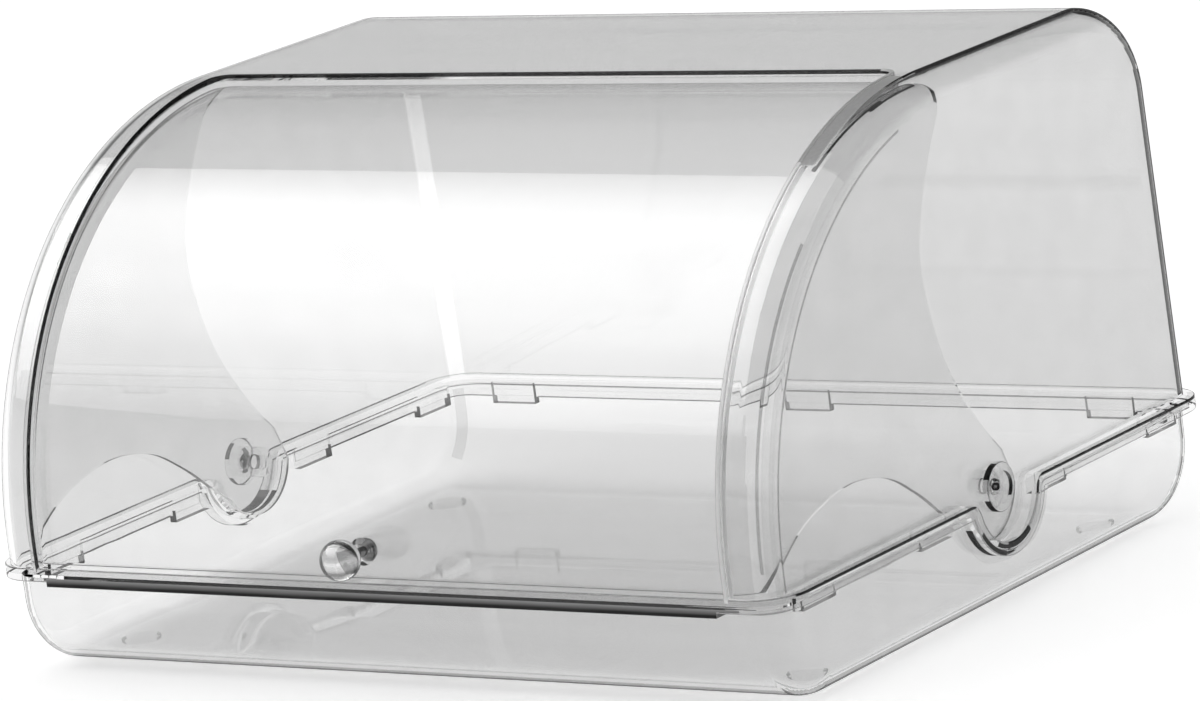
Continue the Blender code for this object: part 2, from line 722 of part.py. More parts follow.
def build():
    """Build and place every piece of the bin."""
    for old in list(bpy.data.objects):
        bpy.data.objects.remove(old)
    shell = material("clear_shell", (0.86, 0.87, 0.88), 0.3, 0.05)
    door_look = material("clear_door", (0.88, 0.89, 0.9), 0.3, 0.05)
    fitting = material("clear_fitting", (0.8, 0.81, 0.82), 0.45, 0.1)
    pad = material("clear_pad", (0.82, 0.83, 0.84), 0.5, 0.35)
    steel = material("zinc_steel", (0.7, 0.7, 0.7), 1.0, 0.3)
    steel.node_tree.nodes["Principled BSDF"].inputs["Metallic"].default_value = 1.0

    carrier = empty("bin_centre", None, (0, BODY_Y, 0))
    axis = empty("door_axis", carrier, (0, PIVOT_Y, PIVOT_Z))

    tray = make_tray()
    place(tray, carrier)
    finish(tray, shell)

    foot_x = SIDE_X - FOOT_SIDE_MARGIN
    foot_y = TRAY_HALF_DEPTH - FOOT_END_MARGIN
    for end, row in (("front", -1), ("rear", 1)):
        for side, sign in (("left", -1), ("right", 1)):
            foot = make_foot(f"foot_{end}_{side}")
            place(foot, carrier, (sign * foot_x, row * foot_y, FOOT_HEIGHT))
            finish(foot, pad)

    hood = make_hood()
    place(hood, carrier)
    finish(hood, shell)

    for side, sign in (("left", -1), ("right", 1)):
        turn = (0, sign * math.pi / 2, 0)
        for kind, maker in (
            ("pin", make_pin),
            ("collar", make_collar),
            ("spacer", make_spacer),
            ("retainer", make_retainer),
        ):
            item = maker(f"pivot_{kind}_{side}")
            place(item, carrier, (sign * SIDE_X, PIVOT_Y, PIVOT_Z), turn)
            finish(item, fitting)

    door = make_door()
    place(door, axis, (0, -PIVOT_Y, -PIVOT_Z))
    finish(door, door_look)

    outward_y = math.cos(KNOB_ANGLE)
    outward_z = math.sin(KNOB_ANGLE)
    seat = (
        KNOB_X,
        HOOD_ARC_CENTRE_Y + DOOR_RADIUS * outward_y - PIVOT_Y,
        ARC_CENTRE_Z + DOOR_RADIUS * outward_z - PIVOT_Z,
    )
    hole = turned("knob_hole", [
        (SCREW_RADIUS + SCREW_CLEARANCE, -OVERRUN),
        (SCREW_RADIUS + SCREW_CLEARANCE, OVERRUN),
    ])
    turn = (math.pi / 2 - math.asin(outward_z), 0, 0)
    place(hole, axis, seat, turn)
    bpy.context.view_layer.update()
    combine(door, hole, "DIFFERENCE")
    finish(door, door_look)
    for name, maker, look in (
        ("knob", make_knob, fitting),
        ("knob_screw", make_screw, steel),
        ("knob_washer", make_washer, steel),
    ):
        item = maker(name)
        place(item, axis, seat, turn)
        finish(item, look)


build()
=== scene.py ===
"""Countertop bread display bin, dressed: clear moulded tray, hood and door on a pale studio floor.

Lengths are in metres. Each sheet is rebuilt with fine round stretches over its node. Heights are
measured from the rim plane, the top face of the hood's flange.
"""
from functools import partial
from math import acos, asin, atan2, cos, degrees, hypot, pi, radians, sin, sqrt, tan, tau

import bmesh
import bpy
from mathutils import Matrix, Vector


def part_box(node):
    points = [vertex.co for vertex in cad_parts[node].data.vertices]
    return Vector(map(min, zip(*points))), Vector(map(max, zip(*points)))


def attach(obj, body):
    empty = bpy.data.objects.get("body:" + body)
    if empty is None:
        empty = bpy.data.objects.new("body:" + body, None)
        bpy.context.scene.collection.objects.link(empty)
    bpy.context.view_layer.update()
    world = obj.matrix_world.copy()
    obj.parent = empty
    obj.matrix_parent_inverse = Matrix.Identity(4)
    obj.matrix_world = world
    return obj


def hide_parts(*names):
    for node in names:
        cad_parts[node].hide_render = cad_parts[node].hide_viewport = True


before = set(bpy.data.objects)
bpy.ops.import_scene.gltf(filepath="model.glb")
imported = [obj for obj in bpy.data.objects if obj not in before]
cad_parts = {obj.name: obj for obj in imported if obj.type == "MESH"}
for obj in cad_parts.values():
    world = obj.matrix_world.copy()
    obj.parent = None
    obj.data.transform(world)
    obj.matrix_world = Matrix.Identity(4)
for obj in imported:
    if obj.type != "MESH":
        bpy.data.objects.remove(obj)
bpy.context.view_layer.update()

QUARTER = pi / 2
MIRROR = Vector((-1, 1, 1))

# Where the nodes are
HOOD_LOW, HOOD_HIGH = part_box("hood")
TRAY_LOW, TRAY_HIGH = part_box("base_tray")
PIN_LOW, PIN_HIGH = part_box("pivot_pin_right")

# Walls, clearances, the rim stack and its lines of painted shade
WALL = 0.0024
GAP = 0.0003
PAINT_PROUD = 0.00005
FLANGE_THICKNESS = 0.0026
RIM_CORNER = 0.018
RIM_OVERHANG = 0.006
RIM_EASE = 0.0005
RIM_LINE = 0.0005
RIM_LINE_TURN = 0.0012
LEAD_LINE_DEPTH = 0.007
LEAD_LINE_WIDTH = 0.0012
SADDLE_SHADE = 0.0030
TRAY_DIP_DEPTH = 0.00825
SKIN_SHIFT = 0.0125
SKIN_DROP = 0.0035
SKIRT_DEPTH = 0.0078
SKIRT_THICKNESS = 0.002
CORNER_RADIUS = 0.012

# Saddle
PIVOT_RISE = 0.0009
SADDLE_RADIUS = 0.021
LEAD_RADIUS = 0.006
LEAD_LEAST = 0.0006

# Tray
TRAY_BOTTOM_RADIUS = 0.030
# Angles round the tray's rear left corner where a grey band of painted shade runs
TRAY_REAR_BAND = (40, 65)
# The front bar under the rim, which carries a painted shadow line
FRONT_BAR_MARGIN = 0.024
FRONT_BAR_TOP = 0.0039
FRONT_BAR_BOTTOM = 0.0073
FRONT_BAR_PROUD = 0.0001
FRONT_RIB_HEIGHT = 0.0010
FRONT_RIB_LENGTH = 0.0105
FOOT_EDGE = 0.0004
FOOT_DISH = 0.0003

# Hood
ARC_RISE = 0.007
ARC_CENTRE_Y = 0.0007
HOOD_FRONT_SETBACK = 0.0003
HOOD_REAR_RADIUS = 0.040
HOOD_REAR_SETBACK = 0.0076
HOOD_REAR_DRAFT = radians(1.9)
OPENING_SIDE_MARGIN = 0.019
OPENING_TOP_SETBACK = 0.001
OPENING_CORNER = 0.008
LIP_WIDTH = 0.0020
LIP_PROUD = 0.0004
LIP_DEPTH = 0.0050
LIP_EASE = 0.0005
# How far the lip's dark line of painted shade runs down its side towards the opening
LIP_DARK = 0.0012
# Where the hood's grey band of painted shade and its strips of painted highlight run, how high its right
# corner's line of painted shade reaches, and which faces of the rear left corner take a painted highlight
BAND_LOW = 61
BAND_HIGH = 86
BAND_OUTER_X = 0.1717
LIGHT_OUTER_X = 0.181
HOOD_CORNER_LINE_TOP = 76
REAR_CORNER_SHARE = 0.45
TAB_WIDTH = 0.022
TAB_DEPTH = 0.0105
TAB_SIDE_Y = 0.042
TAB_FRONT_MARGIN = 0.029
TAB_BACK_MARGIN = 0.022
TAB_REAR_MARGIN = 0.0365
TAB_PROUD = 0.0016
TAB_SHADE_DEPTH = 0.0056

# Door
DOOR_FRONT_GAP = 0.003
DOOR_WALL = 0.0022
DOOR_SIDE_GAP = 0.0038
DOOR_CORNER = 0.014
DOOR_LOBE_RADIUS = 0.022
DOOR_LOBE_START = radians(-150)
DOOR_LOBE_END = radians(-10)
DOOR_LIP = 0.0036
DOOR_TOP_CORNER = 0.004

# Pivots
PIN_RADIUS = 0.0028
PIN_GAP = 0.0003
PIN_HEAD_RADIUS = 0.00625
PIN_HEAD_HEIGHT = 0.002
PIN_BORE_RADIUS = 0.0015
PIN_BORE_DEPTH = 0.006
PIN_SHADE = 0.0007
PIN_INNER_REACH = 0.0052
COLLAR_RADIUS = 0.00975
COLLAR_HEIGHT = 0.0015
COLLAR_LIP = 0.001
RETAINER_RADIUS = 0.00625
RETAINER_HEIGHT = 0.003
SPACER_RADIUS = 0.00625
PIVOT_EDGE = 0.0004

# Knob
KNOB_X = -0.004
KNOB_RISE = 0.0113
BALL_RADIUS = 0.008
BALL_REACH = 0.0155
KNOB_FRONT_SHARE = 0.94
KNOB_POLE = radians(89)
# Where the ball's outline of painted shade starts as it turns from the view, and how tall the painted shade
# on its neck is
KNOB_LINE = -0.50
KNOB_NECK_SHADE = 0.0020
STEM_RADIUS = 0.0034
KNOB_BASE_RADIUS = 0.0055
KNOB_BASE_HEIGHT = 0.0016
SCREW_RADIUS = 0.0015
SCREW_HEAD_RADIUS = 0.003
SCREW_HEAD_HEIGHT = 0.0018
SCREW_REACH = 0.008
SCREW_DRIVE_HALF = 0.0012
SCREW_DRIVE_DEPTH = 0.0009
WASHER_RADIUS = 0.0045
WASHER_HEIGHT = 0.0008
SCREW_GAP = 0.0003

# How far cutting bodies run past what they cut, and the least angle of a sharp edge
OVERRUN = 0.012
SHARP_ANGLE = radians(32)

# Counts of straight pieces in the round stretches
ARC_STEPS = 96
REAR_ARC_STEPS = 32
FILLET_STEPS = 18
SADDLE_STEPS = 48
LEAD_STEPS = 8
CORNER_STEPS = 12
ROUND_STEPS = 72
CURVE_STEPS = 10
EASE_STEPS = 4
FILLET_TURN = 90 / FILLET_STEPS

# How low in the saddle its stretches of painted shade start, as a share of its radius
SADDLE_LOW_SHARE = 0.6

# Where the door's edge changes between painted highlight, plain and painted shade: shares of its radius
# forwards of and above the pivot
DOOR_EDGE_Y_SHARES = (0.85, 0.80, 0.18)
DOOR_EDGE_Z_SHARES = (0.08, 0.10, 0.985)

# Door outline beside the pivot, measured from it, as shares of the door's radius
WING_REAR_SHARES = (
    (0.026, 1.010),
    (-0.060, 0.890),
    (-0.138, 0.735),
    (-0.166, 0.586),
    (-0.116, 0.369),
    (-0.004, 0.185),
    (0.100, 0.070),
)
WING_ARCH_SHARES = (
    (-0.197, -0.020),
    (-0.300, 0.062),
    (-0.430, 0.136),
    (-0.600, 0.163),
    (-0.793, 0.122),
    (-0.920, 0.048),
)

# Worked out from the nodes and the sizes above
RIM_WIDTH = HOOD_HIGH.x - HOOD_LOW.x
RIM_DEPTH = HOOD_HIGH.y - HOOD_LOW.y
BODY = Matrix.Translation((0, (HOOD_LOW.y + HOOD_HIGH.y) / 2, 0))
TRAY_BOTTOM_Z = TRAY_LOW.z
PIVOT_Y = (PIN_LOW.y + PIN_HIGH.y) / 2 - BODY.translation.y
PIVOT_Z = (PIN_LOW.z + PIN_HIGH.z) / 2
RIM_Z = PIVOT_Z - PIVOT_RISE
ARC_CENTRE_Z = RIM_Z + ARC_RISE
SIDE_X = RIM_WIDTH / 2 - RIM_OVERHANG
TRAY_HALF_DEPTH = RIM_DEPTH / 2 - RIM_OVERHANG
ARC_RADIUS = RIM_DEPTH / 2 + ARC_CENTRE_Y - HOOD_FRONT_SETBACK
HOOD_REAR_CENTRE_Y = RIM_DEPTH / 2 - HOOD_REAR_SETBACK - HOOD_REAR_RADIUS
OPENING_X = SIDE_X - OPENING_SIDE_MARGIN
OPENING_TOP_Y = ARC_CENTRE_Y - OPENING_TOP_SETBACK
DOOR_RADIUS = ARC_RADIUS - WALL - DOOR_FRONT_GAP
RIM_SIDE_X = RIM_WIDTH / 2 - RIM_EASE
RIM_STRAIGHT = RIM_DEPTH / 2 - RIM_CORNER
TRAY_FLANGE_TOP = FLANGE_THICKNESS + GAP
TRAY_FLANGE_LOW = TRAY_FLANGE_TOP + FLANGE_THICKNESS
SKIRT_INSET = RIM_OVERHANG + WALL + GAP
DOOR_SIDE_X = SIDE_X - WALL - DOOR_SIDE_GAP
HOLE_RADIUS = PIN_RADIUS + PIN_GAP
WING_DEPTH = WALL + DOOR_SIDE_GAP + DOOR_WALL
KNOB_TILT = asin((KNOB_RISE - ARC_RISE) / DOOR_RADIUS)
SCREW_HOLE_RADIUS = SCREW_RADIUS + SCREW_GAP
CUT_FOOT_Z = RIM_Z - SADDLE_RADIUS - OVERRUN

# How far a face turns towards an axis: the share of its normal that lies along it
FLAT_ON = 0.99
MOSTLY = 0.9
HALFWAY = 0.5
SOMEWHAT = 0.3
LITTLE = 0.1
FAINTLY = 0.02

# Which look a face takes, by its place in its piece's list of materials
SHEET = 0
# Grey lines of painted shade along edges and outlines
SHADE_LINE = 1
# Dark lines and patches of painted shade
DARK_SHADE = 2
PLAIN = 3
# Pale frosted faces of painted highlight
PALE_HIGHLIGHT = 4
# Grey bands of painted shade
GREY_SHADE = 5
# The front bar's painted shadow
SHADOW_BAR = 6
# A frosted grey band of painted shade
SHADE_BAND = 6
# A clearer sheet of painted highlight
HIGHLIGHT_SHEET = 7
SHADED = 8

# Stretches of painted shade in the hood's right saddle: angles round the pivot, and the least depth
HOOD_SADDLE_SHADES = (
    ((-104, -60), 0.0),
    ((-122, -104), 0.0014),
)

# Other stretches of painted shade: angles round the pivot or a turned piece's own axis
LEFT_SADDLE_SHADE = (-112, -48)
TRAY_SADDLE_SHADE = (-155, -80)
TRAY_SADDLE_LINE = (-150, -105)
PIN_HEAD_SHADE = (45, 150)
COLLAR_SHADES = ((190, 240), (290, 335))
FOOT_LINE = (-3, 73)

# How far the faces of the knob's shaded neck turn towards the axis across it
KNOB_NECK_TURN = (-0.38, -0.04)

# Lines of painted shade down the door's right corner: look, how far round the corner, lowest and highest
# front angle
DOOR_CORNER_LINES = (
    (DARK_SHADE, 70, 62, 82),
    (DARK_SHADE, 65, 78, 90),
    (SHADE_LINE, 35, 0, 50),
)

# Plastics: how they bend light, their faint streaks, what they mirror edge-on, where a dimmer gloss is a
# painted shade that darkens outlines, and how clear a shadow is
PLASTIC_INDEX = 1.49
FITTING_INDEX = 1.02
PLAIN_INDEX = 1.01
STREAK_SCALE = (1.5, 60.0, 60.0)
STREAK_TINT = 0.02
RIM_GLOSS = 0.1
CLEAR_SHADOW = 0.99
BAR_GRAIN_SCALE = (40.0, 900.0, 900.0)
BAR_GRAIN_TINT = 0.12

# The way the photo looks at the bin, and how near to side-on a rounded edge gets a line of painted shade
VIEW = Vector((-0.58040, 0.78712, -0.20874))
FAR_SIDE = 0.03
NARROW_LINE = -0.20
TRAY_LINE = -0.27
BROAD_LINE = -0.35

# Camera, at the photo's angle
IMAGE_WIDTH = 1200
CAMERA_AT = Vector((1.61627, -2.17322, 0.67792))
CAMERA_AZIMUTH = radians(36.4044)
CAMERA_ELEVATION = radians(12.0486)
CAMERA_ROLL = radians(-7.5616)
FOCAL_PIXELS = 7004.6
SENSOR_WIDTH = 36.0

# How often a light path may turn, and how many clear walls a shadow passes
LIGHT_BOUNCES = 48
SHADOW_WALLS = 32

# Studio
FLOOR_HALF = 8.0
FLOOR_COLOUR = 0.8
FLOOR_GLOW = 0.46
WORLD_FILL = 0.7
ROOM_DIM = 0.17
ROOM_WHITE_SINE = 0.06
ROOM_DIM_SINE = 0.40
LAMP_STRENGTH = 0.4
LAMP_SPREAD = radians(50)
LAMP_TILT = (radians(28), radians(-24), 0)
CARD_HEIGHT = 1.05
CARD_CENTRE_X = -0.75
CARD_REAR_Y = 0.262
CARD_HALF_WIDTH = 0.85
CARD_LENGTH = 2.6
CARD_TURN = radians(-6.7)
CARD_STRENGTH = 7.0
CARD_STOPS = ((0.0, 0.28), (0.12, 0.97), (0.30, 1.0), (0.50, 0.72), (0.80, 0.38), (1.0, 0.17))


def feed(socket, value):
    """Link an input to an output, or set its value."""
    if isinstance(value, bpy.types.NodeSocket):
        socket.id_data.links.new(value, socket)
    else:
        socket.default_value = value


def new_node(tree, kind, *values, **named):
    """The outputs of a new shader node.

    Values in order go to its inputs. Named ones are its settings, or its inputs with _ for a space.
    """
    node = tree.nodes.new("ShaderNode" + kind)
    for name, value in named.items():
        if hasattr(node, name):
            setattr(node, name, value)
        else:
            feed(node.inputs[name.replace("_", " ")], value)
    for socket, value in zip(node.inputs, values):
        feed(socket, value)
    return node.outputs


def blank_nodes(owner):
    """Clear the nodes of a material or a world, and give back what adds them."""
    owner.use_nodes = True
    owner.node_tree.nodes.clear()
    return partial(new_node, owner.node_tree)


def blank_material(name):
    """A material without nodes, and what adds them."""
    made = bpy.data.materials.new(name)
    return made, blank_nodes(made)


def grey(level):
    """An opaque grey."""
    return (level, level, level, 1.0)


def grey_mix(add, share, low, high):
    """The colour between two greys."""
    return add("Mix", data_type="RGBA", Factor=share, A=grey(low), B=grey(high))["Result"]


def clear_material(name, through, face_gloss=1.0, index=PLASTIC_INDEX):
    """Clear moulded plastic: through tints what passes, face_gloss what a face mirrors seen square-on."""
    made, add = blank_material(name)
    place = add("TexCoord")["Object"]
    stretch = add("Mapping", Vector=place, Scale=STREAK_SCALE)
    streaks = add("TexNoise", Vector=stretch["Vector"], Scale=1.0, Detail=3.0)
    tint = grey_mix(add, streaks["Fac"], through - STREAK_TINT, through + STREAK_TINT)
    waves = add("TexNoise", Vector=place, Scale=14.0, Detail=1.0)
    bump = add("Bump", Height=waves["Fac"], Strength=0.03, Distance=0.0004)["Normal"]
    bend = add("BsdfRefraction", Color=tint, Normal=bump, IOR=index, Roughness=0.0)
    # Edge-on the gloss fades towards RIM_GLOSS, a painted shade that darkens outlines
    fall = add("MapRange", Value=add("LayerWeight", Blend=0.5)["Facing"], From_Min=0.72, From_Max=0.98)
    inside = add("NewGeometry")["Backfacing"]
    outside = add("Math", fall["Result"], inside, operation="SUBTRACT", use_clamp=True)
    fade = grey_mix(add, outside["Value"], face_gloss, RIM_GLOSS)
    gloss = add("BsdfGlossy", Color=fade, Normal=bump, Roughness=0.0)
    surface = add("MixShader", add("Fresnel", IOR=index)["Fac"], bend["BSDF"], gloss["BSDF"])
    let_through = add("BsdfTransparent", Color=grey(CLEAR_SHADOW))
    shown = add("MixShader", add("LightPath")["Is Shadow Ray"], surface["Shader"], let_through["BSDF"])
    add("OutputMaterial", shown["Shader"])
    return made


def frosted_material(name, low, high):
    """A frosted surface of one grey all through, with fine grain: pale as a painted highlight on cut edges
    and strips, grey as a band of painted shade.
    """
    made, add = blank_material(name)
    grain = add("TexNoise", Vector=add("TexCoord")["Object"], Scale=700.0, Detail=2.0)
    colour = grey_mix(add, grain["Fac"], low, high)
    matt = add("BsdfDiffuse", Color=colour)
    through = add("BsdfTranslucent", Color=colour)
    both = add("MixShader", 0.5, matt["BSDF"], through["BSDF"])
    gloss = add("BsdfGlossy", Roughness=0.1)
    fresnel = add("Fresnel", IOR=PLASTIC_INDEX)
    surface = add("MixShader", fresnel["Fac"], both["Shader"], gloss["BSDF"])
    add("OutputMaterial", surface["Shader"])
    return made


def bar_material(name, top, bottom):
    """The dark bar under the front rim, a painted shadow line, darker towards its lower edge, with fine
    grain.
    """
    made, add = blank_material(name)
    place = add("TexCoord")["Object"]
    height = add(
        "MapRange", Value=add("SeparateXYZ", place)["Z"],
        From_Min=RIM_Z - FRONT_BAR_BOTTOM + FRONT_RIB_HEIGHT, From_Max=RIM_Z - FRONT_BAR_TOP)
    stretch = add("Mapping", Vector=place, Scale=BAR_GRAIN_SCALE)
    grain = add("TexNoise", Vector=stretch["Vector"], Scale=1.0, Detail=2.0)
    spread = add("MapRange", Value=grain["Fac"], To_Min=-BAR_GRAIN_TINT, To_Max=BAR_GRAIN_TINT)
    level = add("Math", height["Result"], spread["Result"], operation="ADD", use_clamp=True)
    colour = grey_mix(add, level["Value"], bottom, top)
    surface = add("BsdfPrincipled", Base_Color=colour, Roughness=0.4, Specular_IOR_Level=0.2)
    add("OutputMaterial", surface["BSDF"])
    return made


def steel_material(name, low, high):
    """Zinc-plated steel with fine turning marks and dull patches."""
    made, add = blank_material(name)
    grain = add("TexNoise", Vector=add("TexCoord")["Object"], Scale=900.0, Detail=4.0)["Fac"]
    surface = add(
        "BsdfPrincipled",
        Base_Color=grey_mix(add, grain, low, high),
        Metallic=1.0,
        Roughness=add("MapRange", Value=grain, To_Min=0.22, To_Max=0.42)["Result"],
        Normal=add("Bump", Height=grain, Strength=0.2, Distance=0.0001)["Normal"])
    add("OutputMaterial", surface["BSDF"])
    return made


def new_object(name, data):
    """An object in the scene's collection."""
    item = bpy.data.objects.new(name, data)
    bpy.context.collection.objects.link(item)
    return item


def solid(name, points, faces, looks):
    """A closed body from points and faces, with a look for each face."""
    mesh = bpy.data.meshes.new(name)
    body = bmesh.new()
    corners = [body.verts.new(point) for point in points]
    for face, look in zip(faces, looks):
        body.faces.new([corners[corner] for corner in face]).material_index = look
    bmesh.ops.recalc_face_normals(body, faces=body.faces)
    body.to_mesh(mesh)
    body.free()
    for stand_in in LOOKS:
        mesh.materials.append(stand_in)
    return new_object(name, mesh)


def strip(low, high, count, steps):
    """Faces between two rows of points, given by the number of each row's first point."""
    faces = []
    for step in range(steps):
        after = (step + 1) % count
        faces.append((low + step, low + after, high + after, high + step))
    return faces


def stacked(name, rings, look=SHEET):
    """A body from rings of equal length, capped at both ends."""
    count = len(rings[0])
    last = (len(rings) - 1) * count
    faces = []
    for low in range(0, last, count):
        faces += strip(low, low + count, count, count)
    faces += [tuple(range(count)), tuple(range(last, last + count))]
    return solid(name, [point for ring in rings for point in ring], faces, [look] * len(faces))


def hoop(name, loops, looks, closed=True):
    """A band from loops of equal length, the last joined to the first.

    looks has the look of the strip after each loop. Loops that aren't closed get flat ends.
    """
    count = len(loops[0])
    faces = []
    face_looks = []
    for level, look in enumerate(looks):
        added = strip(level * count, (level + 1) % len(loops) * count, count, count if closed else count - 1)
        faces += added
        face_looks += [look] * len(added)
    if not closed:
        for end in (0, count - 1):
            faces.append(tuple(level * count + end for level in range(len(loops))))
            face_looks.append(SHADE_LINE)
    return solid(name, [point for loop in loops for point in loop], faces, face_looks)


def paint(item, look, chosen):
    """Give a look to faces chosen by where they are and the way they face."""
    for face in item.data.polygons:
        if chosen(face.center, face.normal):
            face.material_index = look


def within(value, limits):
    """Whether a value lies between two limits."""
    return limits[0] < value < limits[1]


def combine(target, operation, *others):
    """Join or cut the target by other bodies, which are used up."""
    for other in others:
        change = target.modifiers.new(operation.lower(), "BOOLEAN")
        change.operation = operation
        change.solver = "MANIFOLD"
        change.object = other
        settled = target.evaluated_get(bpy.context.evaluated_depsgraph_get())
        old_mesh = target.data
        target.data = bpy.data.meshes.new_from_object(settled)
        target.data.name = target.name
        target.modifiers.clear()
        bpy.data.objects.remove(other)
        bpy.data.meshes.remove(old_mesh)


def arc(centre_u, centre_v, radius, start, end, steps):
    """Points of a circular arc, both ends included."""
    turns = [start + (end - start) * step / steps for step in range(steps + 1)]
    return [(centre_u + radius * cos(turn), centre_v + radius * sin(turn)) for turn in turns]


def smooth_curve(points, steps):
    """A curve that passes smoothly through the given points."""
    padded = [points[0], *points, points[-1]]
    curve = []
    for index in range(len(points) - 1):
        before, start, end, after = padded[index:index + 4]
        for step in range(steps):
            t = step / steps
            curve.append(tuple(
                start[axis]
                + (end[axis] - before[axis]) * t / 2
                + (2 * before[axis] - 5 * start[axis] + 4 * end[axis] - after[axis]) * t ** 2 / 2
                + (3 * start[axis] - before[axis] - 3 * end[axis] + after[axis]) * t ** 3 / 2
                for axis in range(2)
            ))
    curve.append(points[-1])
    return curve


def across(outline, x):
    """A side-view outline placed at one X."""
    return [Vector((x, y, z)) for y, z in outline]


def prism(name, outline, half_width):
    """A side-view outline run straight across the bin."""
    return stacked(name, [across(outline, -half_width), across(outline, half_width)], SHADE_LINE)


def rounded_prism(name, profile, half_width, corner_radius):
    """A profile run across the bin whose edges round into flat sides.

    profile(inset) gives the side view drawn in by that much.
    """
    near = []
    for step in range(FILLET_STEPS + 1):
        angle = QUARTER * step / FILLET_STEPS
        inset = corner_radius * (1 - sin(angle))
        near.append((half_width - corner_radius * (1 - cos(angle)), inset))
    rings = [across(profile(inset), x) for x, inset in near]
    rings += [across(profile(inset), -x) for x, inset in reversed(near)]
    return stacked(name, rings)


def hollow_out(item, profile, wall, half_width, corner_radius):
    """Cut the inside out of a rounded prism and leave its wall."""
    combine(item, "DIFFERENCE", rounded_prism(
        "hollow", lambda inset: profile(wall + inset), half_width - wall, corner_radius - wall))


def box(name, low, high, look=SHADE_LINE, split=()):
    """A box between two corners, its sides divided at the heights in split."""
    return stacked(name, [
        [Vector((x, y, z)) for x, y in (low[:2], (high[0], low[1]), high[:2], (low[0], high[1]))]
        for z in (low[2], *split, high[2])
    ], look)


def ring_at(radius, height):
    """A circle of points about Z."""
    turns = [tau * step / ROUND_STEPS for step in range(ROUND_STEPS)]
    return [Vector((radius * cos(turn), radius * sin(turn), height)) for turn in turns]


def turned(name, profile, look=SHEET):
    """A turned body about Z from (radius, height) pairs, along its outside and then any bore."""
    return stacked(name, [ring_at(radius, height) for radius, height in profile], look)


def turned_ring(name, profile, look=PLAIN):
    """A ring about Z from a closed outline of (radius, height) pairs."""
    return hoop(name, [ring_at(radius, height) for radius, height in profile], [look] * len(profile))


def square_ring(name, inner, outer, low, top, look):
    """A ring about Z with square edges."""
    return turned_ring(name, [(inner, low), (outer, low), (outer, top), (inner, top)], look)


def rim_path(depth):
    """Side view of the rim and its saddle at some depth, front to rear."""
    level = RIM_Z - depth
    radius = SADDLE_RADIUS + depth
    lead = max(LEAD_RADIUS - depth, LEAD_LEAST)
    drop = PIVOT_Z - level + lead
    reach = sqrt((radius + lead) ** 2 - drop ** 2)
    tilt = atan2(drop, reach)
    rear = arc(PIVOT_Y + reach, level - lead, lead, pi - tilt, QUARTER, LEAD_STEPS)
    front = arc(PIVOT_Y - reach, level - lead, lead, QUARTER, tilt, LEAD_STEPS)
    dip = arc(PIVOT_Y, PIVOT_Z, radius, tilt - pi, -tilt, SADDLE_STEPS)
    return front + dip[1:-1] + rear


def rim_loop(depth, inset):
    """The rim's loop at some depth, drawn in from the flange's edge."""
    half_width = RIM_WIDTH / 2 - inset
    corner = max(RIM_CORNER - inset, CORNER_RADIUS - WALL - GAP - SKIRT_THICKNESS)
    corner_x = half_width - corner
    corner_y = RIM_DEPTH / 2 - inset - corner
    right = across(rim_path(depth), half_width)
    loop = list(right)
    for index, (side_x, side_y) in enumerate(((1, 1), (-1, 1), (-1, -1), (1, -1))):
        start = QUARTER * index
        bend = arc(side_x * corner_x, side_y * corner_y, corner, start, QUARTER * (index + 1), CORNER_STEPS)
        loop += [Vector((x, y, RIM_Z - depth)) for x, y in bend]
        if index == 1:
            loop += [point * MIRROR for point in reversed(right)]
    return loop


def saddle_angle(point):
    """Where a point stands round the pivots' axis, in degrees, with the rear at zero."""
    return degrees(atan2(point.z - PIVOT_Z, point.y - PIVOT_Y))


def pivot_distance(point):
    """How far a point lies from the pivots' axis."""
    return hypot(point.y - PIVOT_Y, point.z - PIVOT_Z)


def flange(name, top, bottom, inner_inset, top_look, bottom_look):
    """A flange round the rim and its saddles, with eased outer edges whose given looks can paint them as
    lines of shade.
    """
    turns = [QUARTER * step / EASE_STEPS for step in range(EASE_STEPS + 1)]
    rows = [(top, inner_inset, PLAIN), (top, SADDLE_SHADE, PLAIN)]
    for turn in turns:
        rows.append((top + RIM_EASE * (1 - cos(turn)), RIM_EASE * (1 - sin(turn)), top_look))
    rows.append((top + RIM_EASE + RIM_LINE, 0, PLAIN))
    for turn in turns:
        look = bottom_look if turn < QUARTER else PLAIN
        rows.append((bottom - RIM_EASE * (1 - sin(turn)), RIM_EASE * (1 - cos(turn)), look))
    rows += [(bottom, SADDLE_SHADE, PLAIN), (bottom, inner_inset, PLAIN)]
    loops = [rim_loop(depth, inset) for depth, inset, look in rows]
    return hoop(name, loops, [look for depth, inset, look in rows])


def eased_corner(radius, height, side=1):
    """The eased outer corner of a turned piece, at its top, or at its bottom where side is -1."""
    start = QUARTER * (side - 1) / 2
    return arc(
        radius - PIVOT_EDGE, height - side * PIVOT_EDGE, PIVOT_EDGE, start, start + QUARTER, EASE_STEPS)


